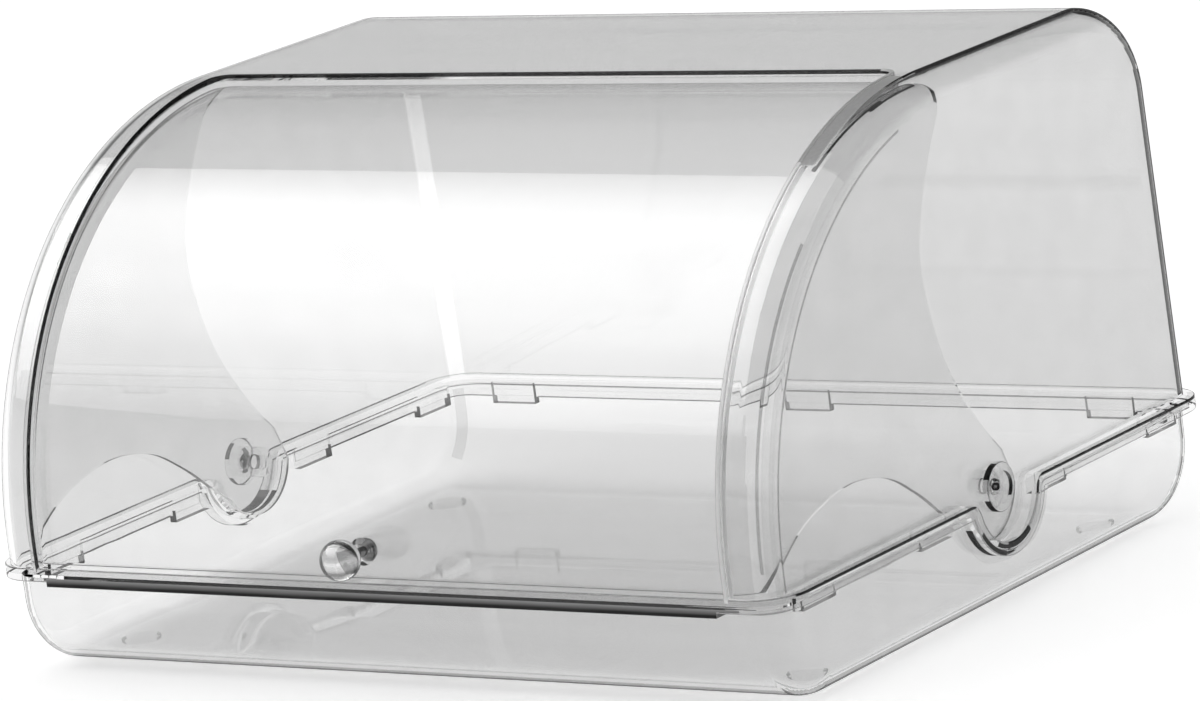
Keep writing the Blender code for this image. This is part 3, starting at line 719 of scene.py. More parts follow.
def hood_flange():
    """The hood's flange: a dark line of painted shade over a grey band of painted shade, a shaded top on its
    right side, and dark painted shade low in its saddles.
    """
    made = flange("hood_flange", 0, FLANGE_THICKNESS, SKIRT_INSET + SKIRT_THICKNESS + GAP, SHADE_LINE, PLAIN)
    line_low = RIM_Z - RIM_EASE - RIM_LINE
    low_in_saddle = PIVOT_Z - SADDLE_RADIUS * SADDLE_LOW_SHARE
    paint(made, SHADED, lambda at, way: way.z > FLAT_ON and at.x > SIDE_X)
    paint(made, PLAIN, lambda at, way: abs(at.y) > RIM_STRAIGHT and line_low < at.z < RIM_Z - RIM_EASE)
    paint(made, DARK_SHADE, lambda at, way: (
        at.x > RIM_SIDE_X - RIM_LINE_TURN and at.z > line_low and way.z < FLAT_ON))
    paint(made, GREY_SHADE, lambda at, way: (
        at.x > RIM_SIDE_X and abs(at.y) < RIM_STRAIGHT and RIM_Z - FLANGE_THICKNESS < at.z < line_low))
    for shade, least_depth in HOOD_SADDLE_SHADES:
        paint(made, DARK_SHADE, lambda at, way: (
            at.x > RIM_SIDE_X and pivot_distance(at) > SADDLE_RADIUS + least_depth
            and within(saddle_angle(at), shade) and at.z < low_in_saddle))
    paint(made, DARK_SHADE, lambda at, way: (
        at.x > RIM_SIDE_X and at.y > PIVOT_Y and at.z > RIM_Z - LEAD_LINE_DEPTH
        and pivot_distance(at) < SADDLE_RADIUS + LEAD_LINE_WIDTH))
    paint(made, DARK_SHADE, lambda at, way: (
        at.x < WALL - SIDE_X and way.z > SOMEWHAT and at.z < low_in_saddle
        and within(saddle_angle(at), LEFT_SADDLE_SHADE)))
    return made


def tray_flange():
    """The tray's flange: an edge line of painted shade below, and dark painted shade under its right saddle.
    """
    inner = RIM_OVERHANG + WALL + PAINT_PROUD
    made = flange("tray_flange", TRAY_FLANGE_TOP, TRAY_FLANGE_LOW, inner, PLAIN, SHADE_LINE)
    outer = RIM_WIDTH / 2 - SADDLE_SHADE
    dip_top = RIM_Z - TRAY_DIP_DEPTH
    paint(made, GREY_SHADE, lambda at, way: at.x > RIM_SIDE_X and abs(at.y) < RIM_STRAIGHT and way.z > LITTLE)
    paint(made, SHEET, lambda at, way: at.x < 0 and way.x > MOSTLY)
    paint(made, DARK_SHADE, lambda at, way: (
        SIDE_X - WALL < at.x < outer and at.z < dip_top and way.z < 0
        and within(saddle_angle(at), TRAY_SADDLE_SHADE)))
    paint(made, DARK_SHADE, lambda at, way: (
        at.x > RIM_SIDE_X and abs(way.x) > MOSTLY and at.z < dip_top
        and within(saddle_angle(at), TRAY_SADDLE_LINE)))
    return made


def seen_through():
    """A plain skin inside the right wall, where the rim outside is seen through it."""
    above = rim_path(TRAY_FLANGE_TOP + GAP)
    below = []
    for y, z in rim_path(TRAY_FLANGE_LOW):
        share = min(max((y - PIVOT_Y) / SADDLE_RADIUS + 0.5, 0), 1)
        below.append((y + SKIN_SHIFT * share, z - SKIN_DROP))
    outline = [(-RIM_STRAIGHT, above[0][1]), *above, (RIM_STRAIGHT, above[-1][1])]
    outline += [(RIM_STRAIGHT, below[-1][1]), *reversed(below), (-RIM_STRAIGHT, below[0][1])]
    inner = SIDE_X - WALL
    return stacked("skin", [across(outline, x) for x in (inner - PAINT_PROUD * 2, inner + WALL / 2)], PLAIN)


def tray_profile(inset):
    """Side view of the tray, open upwards."""
    front = -TRAY_HALF_DEPTH + inset
    bottom = TRAY_BOTTOM_Z + inset
    radius = TRAY_BOTTOM_RADIUS - inset
    top = RIM_Z + OVERRUN + inset
    outline = [(front, top)]
    outline += arc(front + radius, bottom + radius, radius, pi, pi * 3 / 2, REAR_ARC_STEPS)
    outline += arc(-front - radius, bottom + radius, radius, -QUARTER, 0, REAR_ARC_STEPS)
    outline.append((-front, top))
    return outline


def hood_profile(inset):
    """Side view of the hood: foot, front arc, flat top, rear round and rear wall."""
    bottom = CUT_FOOT_Z - inset
    radius = ARC_RADIUS - inset
    rear_radius = HOOD_REAR_RADIUS - inset
    rear_z = ARC_CENTRE_Z + ARC_RADIUS - HOOD_REAR_RADIUS
    outline = [(ARC_CENTRE_Y - radius, bottom)]
    outline += arc(ARC_CENTRE_Y, ARC_CENTRE_Z, radius, pi, QUARTER, ARC_STEPS)
    outline += arc(HOOD_REAR_CENTRE_Y, rear_z, rear_radius, QUARTER, HOOD_REAR_DRAFT, REAR_ARC_STEPS)
    last_y, last_z = outline[-1]
    outline.append((last_y + tan(HOOD_REAR_DRAFT) * (last_z - bottom), bottom))
    return outline


def door_profile(inset):
    """Side view of the space behind the door's panel."""
    radius = DOOR_RADIUS - inset
    low = CUT_FOOT_Z - inset
    rear = PIVOT_Y + OVERRUN + inset
    outline = [(ARC_CENTRE_Y - radius, low)]
    outline += arc(ARC_CENTRE_Y, ARC_CENTRE_Z, radius, pi, QUARTER, ARC_STEPS)
    outline.append((rear, ARC_CENTRE_Z + radius))
    outline.append((rear + OVERRUN, low))
    return outline


def door_outline():
    """Side view of the door's edge: foot, arch, lobe, rear edge and rounded top corner."""
    rear, arch = [
        [(PIVOT_Y + u * DOOR_RADIUS, PIVOT_Z + v * DOOR_RADIUS) for u, v in table]
        for table in (WING_REAR_SHARES, WING_ARCH_SHARES)
    ]
    foot_z = RIM_Z + GAP
    foot_y = ARC_CENTRE_Y - DOOR_RADIUS + DOOR_WALL + DOOR_LIP
    front = ARC_CENTRE_Y - ARC_RADIUS - OVERRUN
    top = ARC_CENTRE_Z + ARC_RADIUS
    top_y, top_z = rear[0]
    outline = [(front, top), (front, foot_z)]
    outline += reversed(smooth_curve(arch + [(foot_y, foot_z)], CURVE_STEPS))
    outline += arc(PIVOT_Y, PIVOT_Z, DOOR_LOBE_RADIUS, DOOR_LOBE_START, DOOR_LOBE_END, SADDLE_STEPS)
    outline += reversed(smooth_curve(rear, CURVE_STEPS)[1:])
    outline += arc(top_y - DOOR_TOP_CORNER, top_z, DOOR_TOP_CORNER, 0, QUARTER, LEAD_STEPS)
    outline.append((top_y - DOOR_TOP_CORNER, top))
    return outline


def corner_angle(point, half_width, radius):
    """How far round its corner a point lies, in degrees from the flat side."""
    return degrees(acos(min(max(1 - (half_width - abs(point.x)) / radius, 0), 1)))


def front_angle(point):
    """How high on the front arc a point lies, in degrees from its centre's height."""
    return degrees(atan2(point.z - ARC_CENTRE_Z, ARC_CENTRE_Y - point.y))


def settle(item, looks, body, node, where=BODY):
    """Put a piece where its node is, give it its looks and let it ride on its body."""
    item.data.transform(where)
    slots = item.data.materials
    for index, look in enumerate(looks):
        slots[index] = look
    while len(slots) > len(looks):
        slots.pop(index=len(slots) - 1)
    item.data.shade_smooth()
    item.data.set_sharp_from_angle(angle=SHARP_ANGLE)
    even = item.modifiers.new("even_normals", "WEIGHTED_NORMAL")
    even.keep_sharp = True
    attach(item, body)
    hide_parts(node)


def past_rim(depth, far_z):
    """A cutting body from the rim's line at some depth to a height above or below it."""
    end_y = RIM_DEPTH / 2 + OVERRUN
    level = RIM_Z - depth
    outline = [(-end_y, level), *rim_path(depth), (end_y, level), (end_y, far_z), (-end_y, far_z)]
    return prism("past_rim", outline, RIM_WIDTH)


def pivot_holes(side_x):
    """Cutting bars for the left and the right pivot's hole."""
    ring = arc(PIVOT_Y, PIVOT_Z, HOLE_RADIUS, 0, tau * (ROUND_STEPS - 1) / ROUND_STEPS, ROUND_STEPS - 1)
    return [
        stacked("hole", [across(ring, x - OVERRUN), across(ring, x + OVERRUN)], SHADE_LINE)
        for x in (-side_x, side_x)
    ]


def make_tray():
    """The tray: an open box with rounded bottom, a flange and a front bar of painted shadow, with painted
    shade along its outline.
    """
    tray = rounded_prism("tray_shell", tray_profile, SIDE_X, CORNER_RADIUS)
    # Painted shade: grey lines where the tray turns from the view, a grey band on its rear left corner, dark
    # at its rear right outline
    paint(tray, SHADE_LINE, lambda at, way: (
        (TRAY_LINE if way.x > FAINTLY else NARROW_LINE) < way.dot(VIEW) < FAR_SIDE))
    paint(tray, GREY_SHADE, lambda at, way: (
        at.x < 0 < at.y and way.y > abs(way.z)
        and within(corner_angle(at, SIDE_X, CORNER_RADIUS), TRAY_REAR_BAND)))
    paint(tray, DARK_SHADE, lambda at, way: (
        min(way.x, way.y) > LITTLE and NARROW_LINE / 2 < way.dot(VIEW) < FAR_SIDE))
    hollow_out(tray, tray_profile, WALL, SIDE_X, CORNER_RADIUS)
    combine(tray, "DIFFERENCE", past_rim((TRAY_FLANGE_TOP + TRAY_FLANGE_LOW) / 2, RIM_Z + OVERRUN * 2))
    combine(tray, "UNION", tray_flange(), seen_through())
    front = -RIM_DEPTH / 2 - FRONT_BAR_PROUD
    back = -TRAY_HALF_DEPTH + WALL / 2
    end = SIDE_X - FRONT_BAR_MARGIN
    for low_x, high_x, drop in (
        (-end, end, FRONT_BAR_BOTTOM),
        (end - FRONT_RIB_LENGTH, end + FRONT_RIB_LENGTH, FRONT_BAR_TOP + FRONT_RIB_HEIGHT),
    ):
        bar = box("front_bar", (low_x, front, RIM_Z - drop), (high_x, back, RIM_Z - FRONT_BAR_TOP), SHADOW_BAR)
        paint(bar, SHEET, lambda at, way: abs(way.x) > HALFWAY)
        combine(tray, "UNION", bar)
    return tray


def hood_tabs():
    """The low corner, high corner and broad axis of each snap tab."""
    outer = SIDE_X - WALL - GAP - GAP
    inner = SIDE_X - WALL - GAP - SKIRT_THICKNESS - TAB_PROUD
    half = TAB_WIDTH / 2
    low = RIM_Z - TAB_DEPTH
    high = RIM_Z - FLANGE_THICKNESS / 2
    front = TAB_FRONT_MARGIN - TRAY_HALF_DEPTH
    back = TRAY_HALF_DEPTH - TAB_BACK_MARGIN
    tabs = [
        ((x, y - half, low), (x + outer - inner, y + half, high), 0)
        for y in (front, PIVOT_Y - TAB_SIDE_Y, PIVOT_Y + TAB_SIDE_Y, back)
        for x in (inner, -outer)
    ]
    rear_shift = TRAY_HALF_DEPTH - SIDE_X
    rear_x = SIDE_X - TAB_REAR_MARGIN
    return tabs + [
        ((x - half, inner + rear_shift, low), (x + half, outer + rear_shift, high), 1)
        for x in (-rear_x, 0, rear_x)
    ]


def opening_route():
    """Points round the opening's edge, each with its way out of the sheet and away from the opening."""
    corner = OPENING_CORNER
    turn_y = OPENING_TOP_Y - corner
    turn_angle = acos((turn_y - ARC_CENTRE_Y) / ARC_RADIUS)
    turns = [(pi + (turn_angle - pi) * step / ARC_STEPS, 0.0) for step in range(ARC_STEPS)]
    for step in range(CORNER_STEPS + 1):
        turn = QUARTER * step / CORNER_STEPS
        turns.append((acos((turn_y + corner * sin(turn) - ARC_CENTRE_Y) / ARC_RADIUS), turn))
    points = []
    for angle, turn in turns:
        place = Vector((
            OPENING_X - corner * (1 - cos(turn)),
            ARC_CENTRE_Y + ARC_RADIUS * cos(angle),
            ARC_CENTRE_Z + ARC_RADIUS * sin(angle)))
        out = Vector((0, cos(angle), sin(angle)))
        along = Vector((0, sin(angle), -cos(angle)))
        points.append((place, out, Vector((1, 0, 0)) * cos(turn) + along * sin(turn)))
    low = Vector((OPENING_X, ARC_CENTRE_Y - ARC_RADIUS, RIM_Z - FLANGE_THICKNESS / 2))
    points.insert(0, (low, *points[0][1:]))
    return points + [(place * MIRROR, out, away * MIRROR) for place, out, away in reversed(points)]


def lip_profile():
    """The lip's section, away from the opening and out of the sheet, with each strip's look."""
    half = LIP_WIDTH / 2 - LIP_EASE
    top = LIP_PROUD - LIP_EASE
    foot = LIP_EASE - LIP_DEPTH
    strips = []
    # The corner towards the opening carries a dark line of painted shade
    corners = ((half, top, SHEET), (-half, top, DARK_SHADE), (-half, foot, SHEET), (half, foot, SHEET))
    for index, (u, v, look) in enumerate(corners):
        start = QUARTER * index
        strips += [(point, look) for point in arc(u, v, LIP_EASE, start, start + QUARTER, EASE_STEPS)]
        if look == DARK_SHADE:
            strips.append(((-LIP_WIDTH / 2, -LIP_DARK), SHEET))
    return strips


def make_lip():
    """The thicker edge round the door opening, which hangs inwards."""
    strips = lip_profile()
    route = opening_route()
    rings = [[point + away * u + out * v for point, out, away in route] for (u, v), look in strips]
    made = hoop("lip", rings, [look for place, look in strips], closed=False)
    side = OPENING_X - OPENING_CORNER
    # A painted highlight down the lip's right side, and a band of painted shade high on its right
    paint(made, PALE_HIGHLIGHT, lambda at, way: at.x > side and front_angle(at) < BAND_LOW and way.x > -HALFWAY)
    paint(made, SHADE_BAND, lambda at, way: at.x > side and front_angle(at) > BAND_LOW and way.z > 0)
    return made


def make_hood():
    """The hood: an arched shell with its opening, lip, flange, skirt and snap tabs."""
    hood = rounded_prism("hood_shell", hood_profile, SIDE_X, CORNER_RADIUS)
    # Painted shade: dark lines where the hood turns from the view, and a grey line down its right front
    # corner
    paint(hood, DARK_SHADE, lambda at, way: way.x > FAINTLY and BROAD_LINE < way.dot(VIEW) < FAR_SIDE)
    paint(hood, SHADE_LINE, lambda at, way: (
        at.x > 0 and 0 < corner_angle(at, SIDE_X, CORNER_RADIUS) < FILLET_TURN
        and front_angle(at) < HOOD_CORNER_LINE_TOP))
    hollow_out(hood, hood_profile, WALL, SIDE_X, CORNER_RADIUS)
    # A painted highlight down the hood's rear left corner
    paint(hood, HIGHLIGHT_SHEET, lambda at, way: (
        at.x < 0 < at.y and min(abs(way.x), abs(way.y)) > REAR_CORNER_SHARE and abs(way.z) < LITTLE))
    floor = CUT_FOOT_Z - OVERRUN
    front = -RIM_DEPTH / 2 - OVERRUN
    corner = OPENING_CORNER
    corner_x = OPENING_X - corner
    corner_y = OPENING_TOP_Y - corner
    opening = [(-OPENING_X, front), (OPENING_X, front)]
    opening += arc(corner_x, corner_y, corner, 0, QUARTER, CORNER_STEPS)
    opening += arc(-corner_x, corner_y, corner, QUARTER, pi, CORNER_STEPS)
    top = ARC_CENTRE_Z + ARC_RADIUS + OVERRUN
    cutter = stacked("opening", [[Vector((x, y, z)) for x, y in opening] for z in (floor, top)], SHADE_LINE)
    combine(hood, "DIFFERENCE", past_rim(FLANGE_THICKNESS / 2, floor), cutter)
    # Painted highlight beside the opening, and a grey band of painted shade above it on the right
    paint(hood, HIGHLIGHT_SHEET, lambda at, way: (
        OPENING_X < abs(at.x) < LIGHT_OUTER_X and front_angle(at) < BAND_LOW and way.y < MOSTLY))
    paint(hood, SHADE_BAND, lambda at, way: (
        OPENING_X < at.x < BAND_OUTER_X and BAND_LOW < front_angle(at) < BAND_HIGH and way.z > 0))
    combine(hood, "UNION", make_lip(), hood_flange(), make_skirt())
    shade_top = RIM_Z - TAB_SHADE_DEPTH
    for low, high, broad_axis in hood_tabs():
        tab = box("tab", low, high, PLAIN, (shade_top,))
        # Painted shade on the tabs: a grey line underneath and dark sides
        paint(tab, SHADE_LINE, lambda at, way: way.z < -HALFWAY)
        paint(tab, DARK_SHADE, lambda at, way: (
            abs(way[1 - broad_axis]) > HALFWAY and (broad_axis == 1 or at.z < shade_top)
            and abs(at.y - PIVOT_Y) > TAB_SIDE_Y - TAB_WIDTH / 4))
        combine(hood, "UNION", tab)
    combine(hood, "DIFFERENCE", *pivot_holes(SIDE_X))
    return hood


def make_skirt():
    """The skirt that stands inside the tray's wall, left out at the saddles."""
    root = FLANGE_THICKNESS / 2
    outer = SKIRT_INSET
    inner = SKIRT_INSET + SKIRT_THICKNESS
    loops = [
        [Vector((point.x, point.y, RIM_Z - depth)) for point in rim_loop(0, inset)]
        for depth, inset in ((root, outer), (SKIRT_DEPTH, outer), (SKIRT_DEPTH, inner), (root, inner))
    ]
    # A grey line of painted shade along the skirt's lower edge, dark painted shade under its left side
    skirt = hoop("skirt", loops, (PLAIN, SHADE_LINE, PLAIN, PLAIN))
    paint(skirt, DARK_SHADE, lambda at, way: way.z < -MOSTLY and at.x < CORNER_RADIUS - SIDE_X)
    half = TAB_SIDE_Y - TAB_WIDTH / 2 + TAB_PROUD
    combine(skirt, "DIFFERENCE", box(
        "saddle_room",
        (-RIM_WIDTH, PIVOT_Y - half, RIM_Z - SKIRT_DEPTH - OVERRUN),
        (RIM_WIDTH, PIVOT_Y + half, RIM_Z + OVERRUN)))
    return skirt


def make_door():
    """The door: a curved panel with a wing at each side down to the pivot."""
    door = rounded_prism("door_panel", door_profile, DOOR_SIDE_X, DOOR_CORNER)
    # Lines of painted shade down the door's right corner
    for look, turn, low, high in DOOR_CORNER_LINES:
        paint(door, look, lambda at, way: (
            at.x > 0 and low < front_angle(at) < high
            and turn < corner_angle(at, DOOR_SIDE_X, DOOR_CORNER) < turn + FILLET_TURN))
    hollow_out(door, door_profile, DOOR_WALL, DOOR_SIDE_X, DOOR_CORNER)
    combine(door, "INTERSECT", prism("door_outline", door_outline(), RIM_WIDTH))
    cut_x = DOOR_SIDE_X - DOOR_WALL
    foot_y, corner_y, lobe_y = [PIVOT_Y - DOOR_RADIUS * share for share in DOOR_EDGE_Y_SHARES]
    corner_z, rear_z, top_z = [PIVOT_Z + DOOR_RADIUS * share for share in DOOR_EDGE_Z_SHARES]
    # Cut edges pale as a painted highlight, plain at the upper rear and dark painted shade at the top right
    paint(door, PALE_HIGHLIGHT, lambda at, way: (
        abs(at.x) > cut_x and abs(way.x) < LITTLE and not foot_y <= at.y <= lobe_y))
    paint(door, PLAIN, lambda at, way: (
        abs(at.x) > cut_x and abs(way.x) < LITTLE and way.y > LITTLE and at.z > rear_z))
    paint(door, PALE_HIGHLIGHT, lambda at, way: (
        DOOR_SIDE_X - DOOR_CORNER < abs(at.x) < cut_x and abs(way.x) < HALFWAY
        and way.z < -LITTLE and at.y < corner_y and at.z < corner_z))
    paint(door, DARK_SHADE, lambda at, way: at.x > cut_x and abs(way.x) < LITTLE and at.z > top_z)
    hole = turned("knob_hole", [(SCREW_HOLE_RADIUS, -OVERRUN), (SCREW_HOLE_RADIUS, OVERRUN)])
    hole.data.transform(knob_seat())
    combine(door, "DIFFERENCE", *pivot_holes(DOOR_SIDE_X), hole)
    return door


def knob_seat():
    """Where the knob sits on the door's face, its Z pointing outwards."""
    y = ARC_CENTRE_Y - DOOR_RADIUS * cos(KNOB_TILT)
    z = ARC_CENTRE_Z + DOOR_RADIUS * sin(KNOB_TILT)
    return Matrix.Translation((KNOB_X, y, z)) @ Matrix.Rotation(QUARTER - KNOB_TILT, 4, "X")


def make_foot(name, radius, height):
    """A round pad with an eased, slightly dished lower face, its top at zero height."""
    foot = turned(name, [
        (radius / 2, FOOT_DISH - height),
        (radius - FOOT_EDGE * 3, FOOT_DISH - height),
        (radius - FOOT_EDGE * 2, -height),
        (radius - FOOT_EDGE, -height),
        (radius, FOOT_EDGE - height),
        (radius, 0),
    ])
    # A line of painted shade round part of the pad's lower edge
    paint(foot, SHADE_LINE, lambda at, way: (
        at.xy.length > radius - FOOT_EDGE * 2 and within(turn_angle(at) % 180, FOOT_LINE)))
    return foot


def turn_angle(point):
    """Where a point of a turned piece stands round its axis, in degrees."""
    return degrees(atan2(point.y, point.x)) % 360


def make_pin(name):
    """A hollow headed pin along Z, measured from the hood's face."""
    head_low = COLLAR_HEIGHT + GAP + GAP
    head_top = head_low + PIN_HEAD_HEIGHT
    tip = -WING_DEPTH - PIN_INNER_REACH
    pin = turned(name, [
        (PIN_RADIUS - PIVOT_EDGE, tip),
        (PIN_RADIUS, tip + PIVOT_EDGE),
        (PIN_RADIUS, head_low),
        (PIN_HEAD_RADIUS, head_low),
        *eased_corner(PIN_HEAD_RADIUS, head_top),
        *[(PIN_BORE_RADIUS, z) for z in (head_top, PIN_SHADE, -PIN_SHADE, head_top - PIN_BORE_DEPTH)],
    ], PLAIN)
    # Dark painted shade on a stretch of the head's rim and in a band inside the bore
    paint(pin, DARK_SHADE, lambda at, way: (
        at.xy.length > PIN_HEAD_RADIUS - PIVOT_EDGE and at.z > head_low + PIVOT_EDGE
        and within(turn_angle(at), PIN_HEAD_SHADE)))
    paint(pin, DARK_SHADE, lambda at, way: (
        PIN_BORE_RADIUS / 2 < at.xy.length < PIN_BORE_RADIUS and abs(at.z) < PIN_SHADE))
    return pin


def make_collar(name):
    """A dished washer between the pin's head and the hood's face."""
    top = GAP + COLLAR_HEIGHT
    collar = turned_ring(name, [
        (HOLE_RADIUS, GAP),
        (COLLAR_RADIUS, GAP),
        *eased_corner(COLLAR_RADIUS, top + COLLAR_LIP),
        (COLLAR_RADIUS - COLLAR_LIP, top + COLLAR_LIP),
        (COLLAR_RADIUS - COLLAR_LIP, top),
        (HOLE_RADIUS, top),
    ])
    rim = COLLAR_RADIUS - PIVOT_EDGE
    # A grey line of painted shade round the lip, and dark painted shade on two stretches of its rim
    paint(collar, SHADE_LINE, lambda at, way: at.xy.length > rim and at.z > top + PIVOT_EDGE)
    for shade in COLLAR_SHADES:
        paint(collar, DARK_SHADE, lambda at, way: (
            at.xy.length > rim and at.z > GAP + PIVOT_EDGE and within(turn_angle(at), shade)))
    return collar


def make_spacer(name):
    """A plain ring that keeps the door's wing off the hood's wall."""
    return square_ring(name, HOLE_RADIUS, SPACER_RADIUS, GAP - WALL - DOOR_SIDE_GAP, -WALL - GAP, PLAIN)


def make_retainer(name):
    """A push-on ring that holds the pin inside the door's wing."""
    inner = PIN_RADIUS + GAP
    top = -WING_DEPTH - GAP
    low = top - RETAINER_HEIGHT
    edge = eased_corner(RETAINER_RADIUS, low, -1)
    return turned_ring(name, [(inner, low), *edge, (RETAINER_RADIUS, top), (inner, top)])


def make_knob(name):
    """A ball knob along Z on a short stem, bored for its screw."""
    neck = asin(STEM_RADIUS / BALL_RADIUS)
    ball = [
        (radius, min(height, BALL_REACH) + max(height - BALL_REACH, 0) * KNOB_FRONT_SHARE)
        for radius, height in arc(
            0, BALL_REACH, BALL_RADIUS, neck - QUARTER, KNOB_POLE, REAR_ARC_STEPS)
    ]
    bore_top = SCREW_REACH + SCREW_GAP
    knob = turned(name, [
        (SCREW_HOLE_RADIUS, bore_top),
        (SCREW_HOLE_RADIUS, GAP),
        (KNOB_BASE_RADIUS, GAP),
        (KNOB_BASE_RADIUS, KNOB_BASE_HEIGHT),
        (STEM_RADIUS, KNOB_BASE_HEIGHT + KNOB_BASE_RADIUS - STEM_RADIUS),
        *ball,
    ])
    view = knob_seat().to_3x3().inverted() @ VIEW
    neck_z = BALL_REACH - BALL_RADIUS
    paint(knob, PLAIN, lambda at, way: at.z < neck_z and at.xy.length > SCREW_HOLE_RADIUS)
    # Painted shade: dark in the bore, grey lines round the base and the ball's outline, dark on its far side
    # and a grey band on the neck
    paint(knob, DARK_SHADE, lambda at, way: at.xy.length < SCREW_HOLE_RADIUS and at.z < bore_top + GAP)
    paint(knob, SHADE_LINE, lambda at, way: (
        KNOB_BASE_HEIGHT < at.z < neck_z and at.xy.length > STEM_RADIUS and way.x < SOMEWHAT))
    paint(knob, SHADE_LINE, lambda at, way: (
        at.z < KNOB_BASE_HEIGHT and at.xy.length > STEM_RADIUS and way.x > MOSTLY))
    paint(knob, SHADE_LINE, lambda at, way: at.z > neck_z and KNOB_LINE < way.dot(view) < FAR_SIDE and way.x < 0)
    paint(knob, DARK_SHADE, lambda at, way: (
        at.z > neck_z and NARROW_LINE < way.dot(view) < FAR_SIDE and way.x < -SOMEWHAT))
    paint(knob, SHADE_LINE, lambda at, way: (
        neck_z < at.z < neck_z + KNOB_NECK_SHADE and at.xy.length > STEM_RADIUS
        and within(way.y, KNOB_NECK_TURN)))
    return knob


def make_screw(name):
    """The knob's screw along Z, its head inside the door, with a square drive."""
    seat = -(DOOR_WALL + GAP + WASHER_HEIGHT + GAP)
    head = seat - SCREW_HEAD_HEIGHT
    screw = turned(name, [
        *eased_corner(SCREW_HEAD_RADIUS, head, -1),
        (SCREW_HEAD_RADIUS, seat),
        (SCREW_RADIUS, seat),
        (SCREW_RADIUS, SCREW_REACH),
    ])
    half = SCREW_DRIVE_HALF
    drive = box("drive", (-half, -half, head - OVERRUN), (half, half, head + SCREW_DRIVE_DEPTH), SHEET)
    combine(screw, "DIFFERENCE", drive)
    return screw


def make_washer(name):
    """The washer between the screw's head and the door's inner face."""
    top = -(DOOR_WALL + GAP)
    return square_ring(name, SCREW_HOLE_RADIUS, WASHER_RADIUS, top - WASHER_HEIGHT, top, SHEET)


def make_pieces():
    """Build every piece of the bin over its node."""
    # Grey and dark lines, grey bands, the bar and the shaded rim are painted shade; the pale frosted edges
    # and the clearer sheet are painted highlights
    edge = clear_material("clear_edge", 0.55, face_gloss=0.5)
    dark = clear_material("dark_edge", 0.05, face_gloss=0.3)
    plain = clear_material("plain_rim", 0.95, index=PLAIN_INDEX)
    lines = (edge, dark, plain, frosted_material("frosted_edge", 0.94, 1.0))
    grey_shade = clear_material("smoky_edge", 0.80)
    tray_looks = (clear_material("clear_base", 0.96), *lines, grey_shade, bar_material("smoky_bar", 0.30, 0.0))
    hood_looks = (
        clear_material("clear_sheet", 0.875),
        *lines,
        grey_shade,
        frosted_material("frosted_band", 0.50, 0.64),
        clear_material("light_sheet", 0.975),
        clear_material("shaded_rim", 0.76, index=PLAIN_INDEX),
    )
    door_looks = (clear_material("clear_panel", 0.93), *lines)
    plain_fitting = clear_material("plain_fitting", 0.97, index=FITTING_INDEX)
    fitting_looks = (clear_material("clear_fitting", 0.97), edge, dark, plain_fitting)
    pad_looks = (clear_material("clear_pad", 0.96, index=FITTING_INDEX), edge)
    steel_looks = (steel_material("zinc_steel", 0.30, 0.46),)

    settle(make_tray(), tray_looks, "tray", "base_tray")
    for end in ("front", "rear"):
        for side in ("left", "right"):
            node = f"foot_{end}_{side}"
            low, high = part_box(node)
            foot = make_foot(f"pad_{end}_{side}", (high.x - low.x) / 2, high.z - low.z)
            centre = Matrix.Translation(((low.x + high.x) / 2, (low.y + high.y) / 2, high.z))
            settle(foot, pad_looks, "tray", node, centre)

    settle(make_hood(), hood_looks, "hood", "hood")
    for side, sign in (("left", -1), ("right", 1)):
        seat = BODY @ Matrix.Translation((sign * SIDE_X, PIVOT_Y, PIVOT_Z))
        seat = seat @ Matrix.Rotation(sign * QUARTER, 4, "Y")
        for kind, maker in (
            ("pin", make_pin),
            ("collar", make_collar),
            ("spacer", make_spacer),
            ("retainer", make_retainer),
        ):
            item = maker(f"clear_{kind}_{side}")
            settle(item, fitting_looks, "hood", f"pivot_{kind}_{side}", seat)

    settle(make_door(), door_looks, "door", "door")
    for node, maker, looks, slot in (
        ("knob", make_knob, fitting_looks, "clear_fitting"),
        ("knob_screw", make_screw, steel_looks, "zinc_steel"),
        ("knob_washer", make_washer, steel_looks, "zinc_steel"),
    ):
        settle(maker(f"{node}_piece"), looks, "door", node, BODY @ knob_seat())


def larger(add, one, other):
    """The larger of two values."""
    return add("Math", one, other, operation="MAXIMUM")["Value"]


def seen_rays(add):
    """One for camera, glossy and transmission rays, and zero for the rest."""
    rays = add("LightPath")
    return larger(add, rays["Is Camera Ray"], larger(add, rays["Is Glossy Ray"], rays["Is Transmission Ray"]))


def make_world():
    """A pale room: white behind the bin, dimmer overhead where it is mirrored or bent."""
    world = bpy.data.worlds.new("studio")
    bpy.context.scene.world = world
    add = blank_nodes(world)
    height = add("SeparateXYZ", add("TexCoord")["Generated"])["Z"]
    overhead = add(
        "MapRange", interpolation_type="SMOOTHSTEP", Value=height,
        From_Min=ROOM_WHITE_SINE, From_Max=ROOM_DIM_SINE, To_Min=1.0, To_Max=ROOM_DIM)
    shown = larger(add, overhead["Result"], add("LightPath")["Is Camera Ray"])
    level = add("Mix", data_type="FLOAT", Factor=seen_rays(add), A=WORLD_FILL, B=shown)
    glow = add("Background", Color=grey(1.0), Strength=level["Result"])
    add("OutputWorld", glow["Background"])


def plane(name, width, length):
    """A flat stage piece with its origin in the middle of its rear edge."""
    mesh = bpy.data.meshes.new(name)
    half = width / 2
    corners = [(-half, -length, 0), (half, -length, 0), (half, 0, 0), (-half, 0, 0)]
    mesh.from_pydata(corners, [], [(0, 1, 2, 3)])
    item = new_object(name, mesh)
    return item


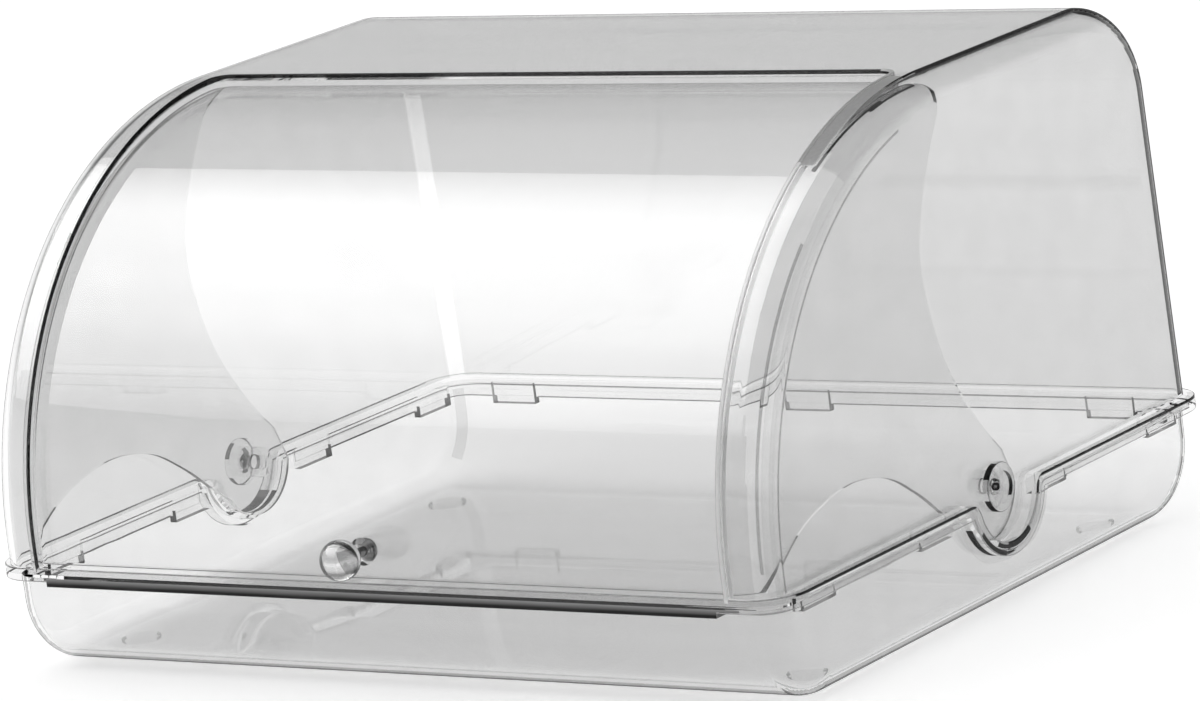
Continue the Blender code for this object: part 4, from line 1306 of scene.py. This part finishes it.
def make_floor():
    """A pale floor that shows white and keeps the bin's shadow."""
    floor = plane("floor", FLOOR_HALF * 2, FLOOR_HALF * 2)
    floor.location = (0, FLOOR_HALF, 0)
    made, add = blank_material("floor")
    matt = add("BsdfDiffuse", Color=grey(FLOOR_COLOUR))
    level = add("MapRange", Value=seen_rays(add), To_Max=FLOOR_GLOW)
    glow = add("Emission", Strength=level["Result"])
    add("OutputMaterial", add("AddShader", matt["BSDF"], glow["Emission"])["Shader"])
    floor.data.materials.append(made)


def make_card():
    """The studio's overhead light panel, as polished surfaces mirror it."""
    card = plane("light_panel", CARD_HALF_WIDTH * 2, CARD_LENGTH)
    card.location = (CARD_CENTRE_X, CARD_REAR_Y, CARD_HEIGHT)
    card.rotation_euler = (0, 0, CARD_TURN)
    for kind in ("camera", "diffuse", "transmission", "shadow", "volume_scatter"):
        setattr(card, f"visible_{kind}", False)
    made, add = blank_material("light_panel")
    length = add("SeparateXYZ", add("TexCoord")["Object"])["Y"]
    along = add("MapRange", Value=length, From_Max=-CARD_LENGTH)
    fade = add("ValToRGB", along["Result"])["Color"]
    stops = fade.node.color_ramp.elements
    while len(stops) < len(CARD_STOPS):
        stops.new(0.5)
    for stop, (position, share) in zip(stops, CARD_STOPS):
        stop.position = position
        stop.color = grey(share)
    glow = add("Emission", Color=fade, Strength=CARD_STRENGTH)
    add("OutputMaterial", glow["Emission"])
    card.data.materials.append(made)


def make_lamp():
    """A wide soft lamp from above and to the left."""
    lamp = bpy.data.lights.new("soft_lamp", "SUN")
    lamp.energy = LAMP_STRENGTH
    lamp.angle = LAMP_SPREAD
    item = new_object("soft_lamp", lamp)
    item.rotation_euler = LAMP_TILT
    item.visible_glossy = False
    item.visible_transmission = False


def make_camera():
    """The camera at the photo's place and angle."""
    lens = bpy.data.cameras.new("camera")
    lens.sensor_width = SENSOR_WIDTH
    lens.lens = FOCAL_PIXELS / IMAGE_WIDTH * SENSOR_WIDTH
    lens.clip_end = FLOOR_HALF * 4
    item = new_object("camera", lens)
    turn = Matrix.Rotation(CAMERA_AZIMUTH, 4, "Z") @ Matrix.Rotation(QUARTER - CAMERA_ELEVATION, 4, "X")
    item.matrix_world = Matrix.Translation(CAMERA_AT) @ turn @ Matrix.Rotation(CAMERA_ROLL, 4, "Z")
    bpy.context.scene.camera = item


def set_view():
    """Plain view settings, and light paths long enough for many clear walls."""
    scene = bpy.context.scene
    scene.view_settings.view_transform = "Standard"
    scene.cycles.max_bounces = LIGHT_BOUNCES
    scene.cycles.transmission_bounces = LIGHT_BOUNCES
    scene.cycles.glossy_bounces = LIGHT_BOUNCES // 2
    scene.cycles.transparent_max_bounces = SHADOW_WALLS


LOOKS = [bpy.data.materials.new(f"stand_in_{index}") for index in range(SHADED + 1)]
make_camera()
make_world()
make_floor()
make_card()
make_lamp()
make_pieces()
for stand_in in LOOKS:
    bpy.data.materials.remove(stand_in)
set_view()
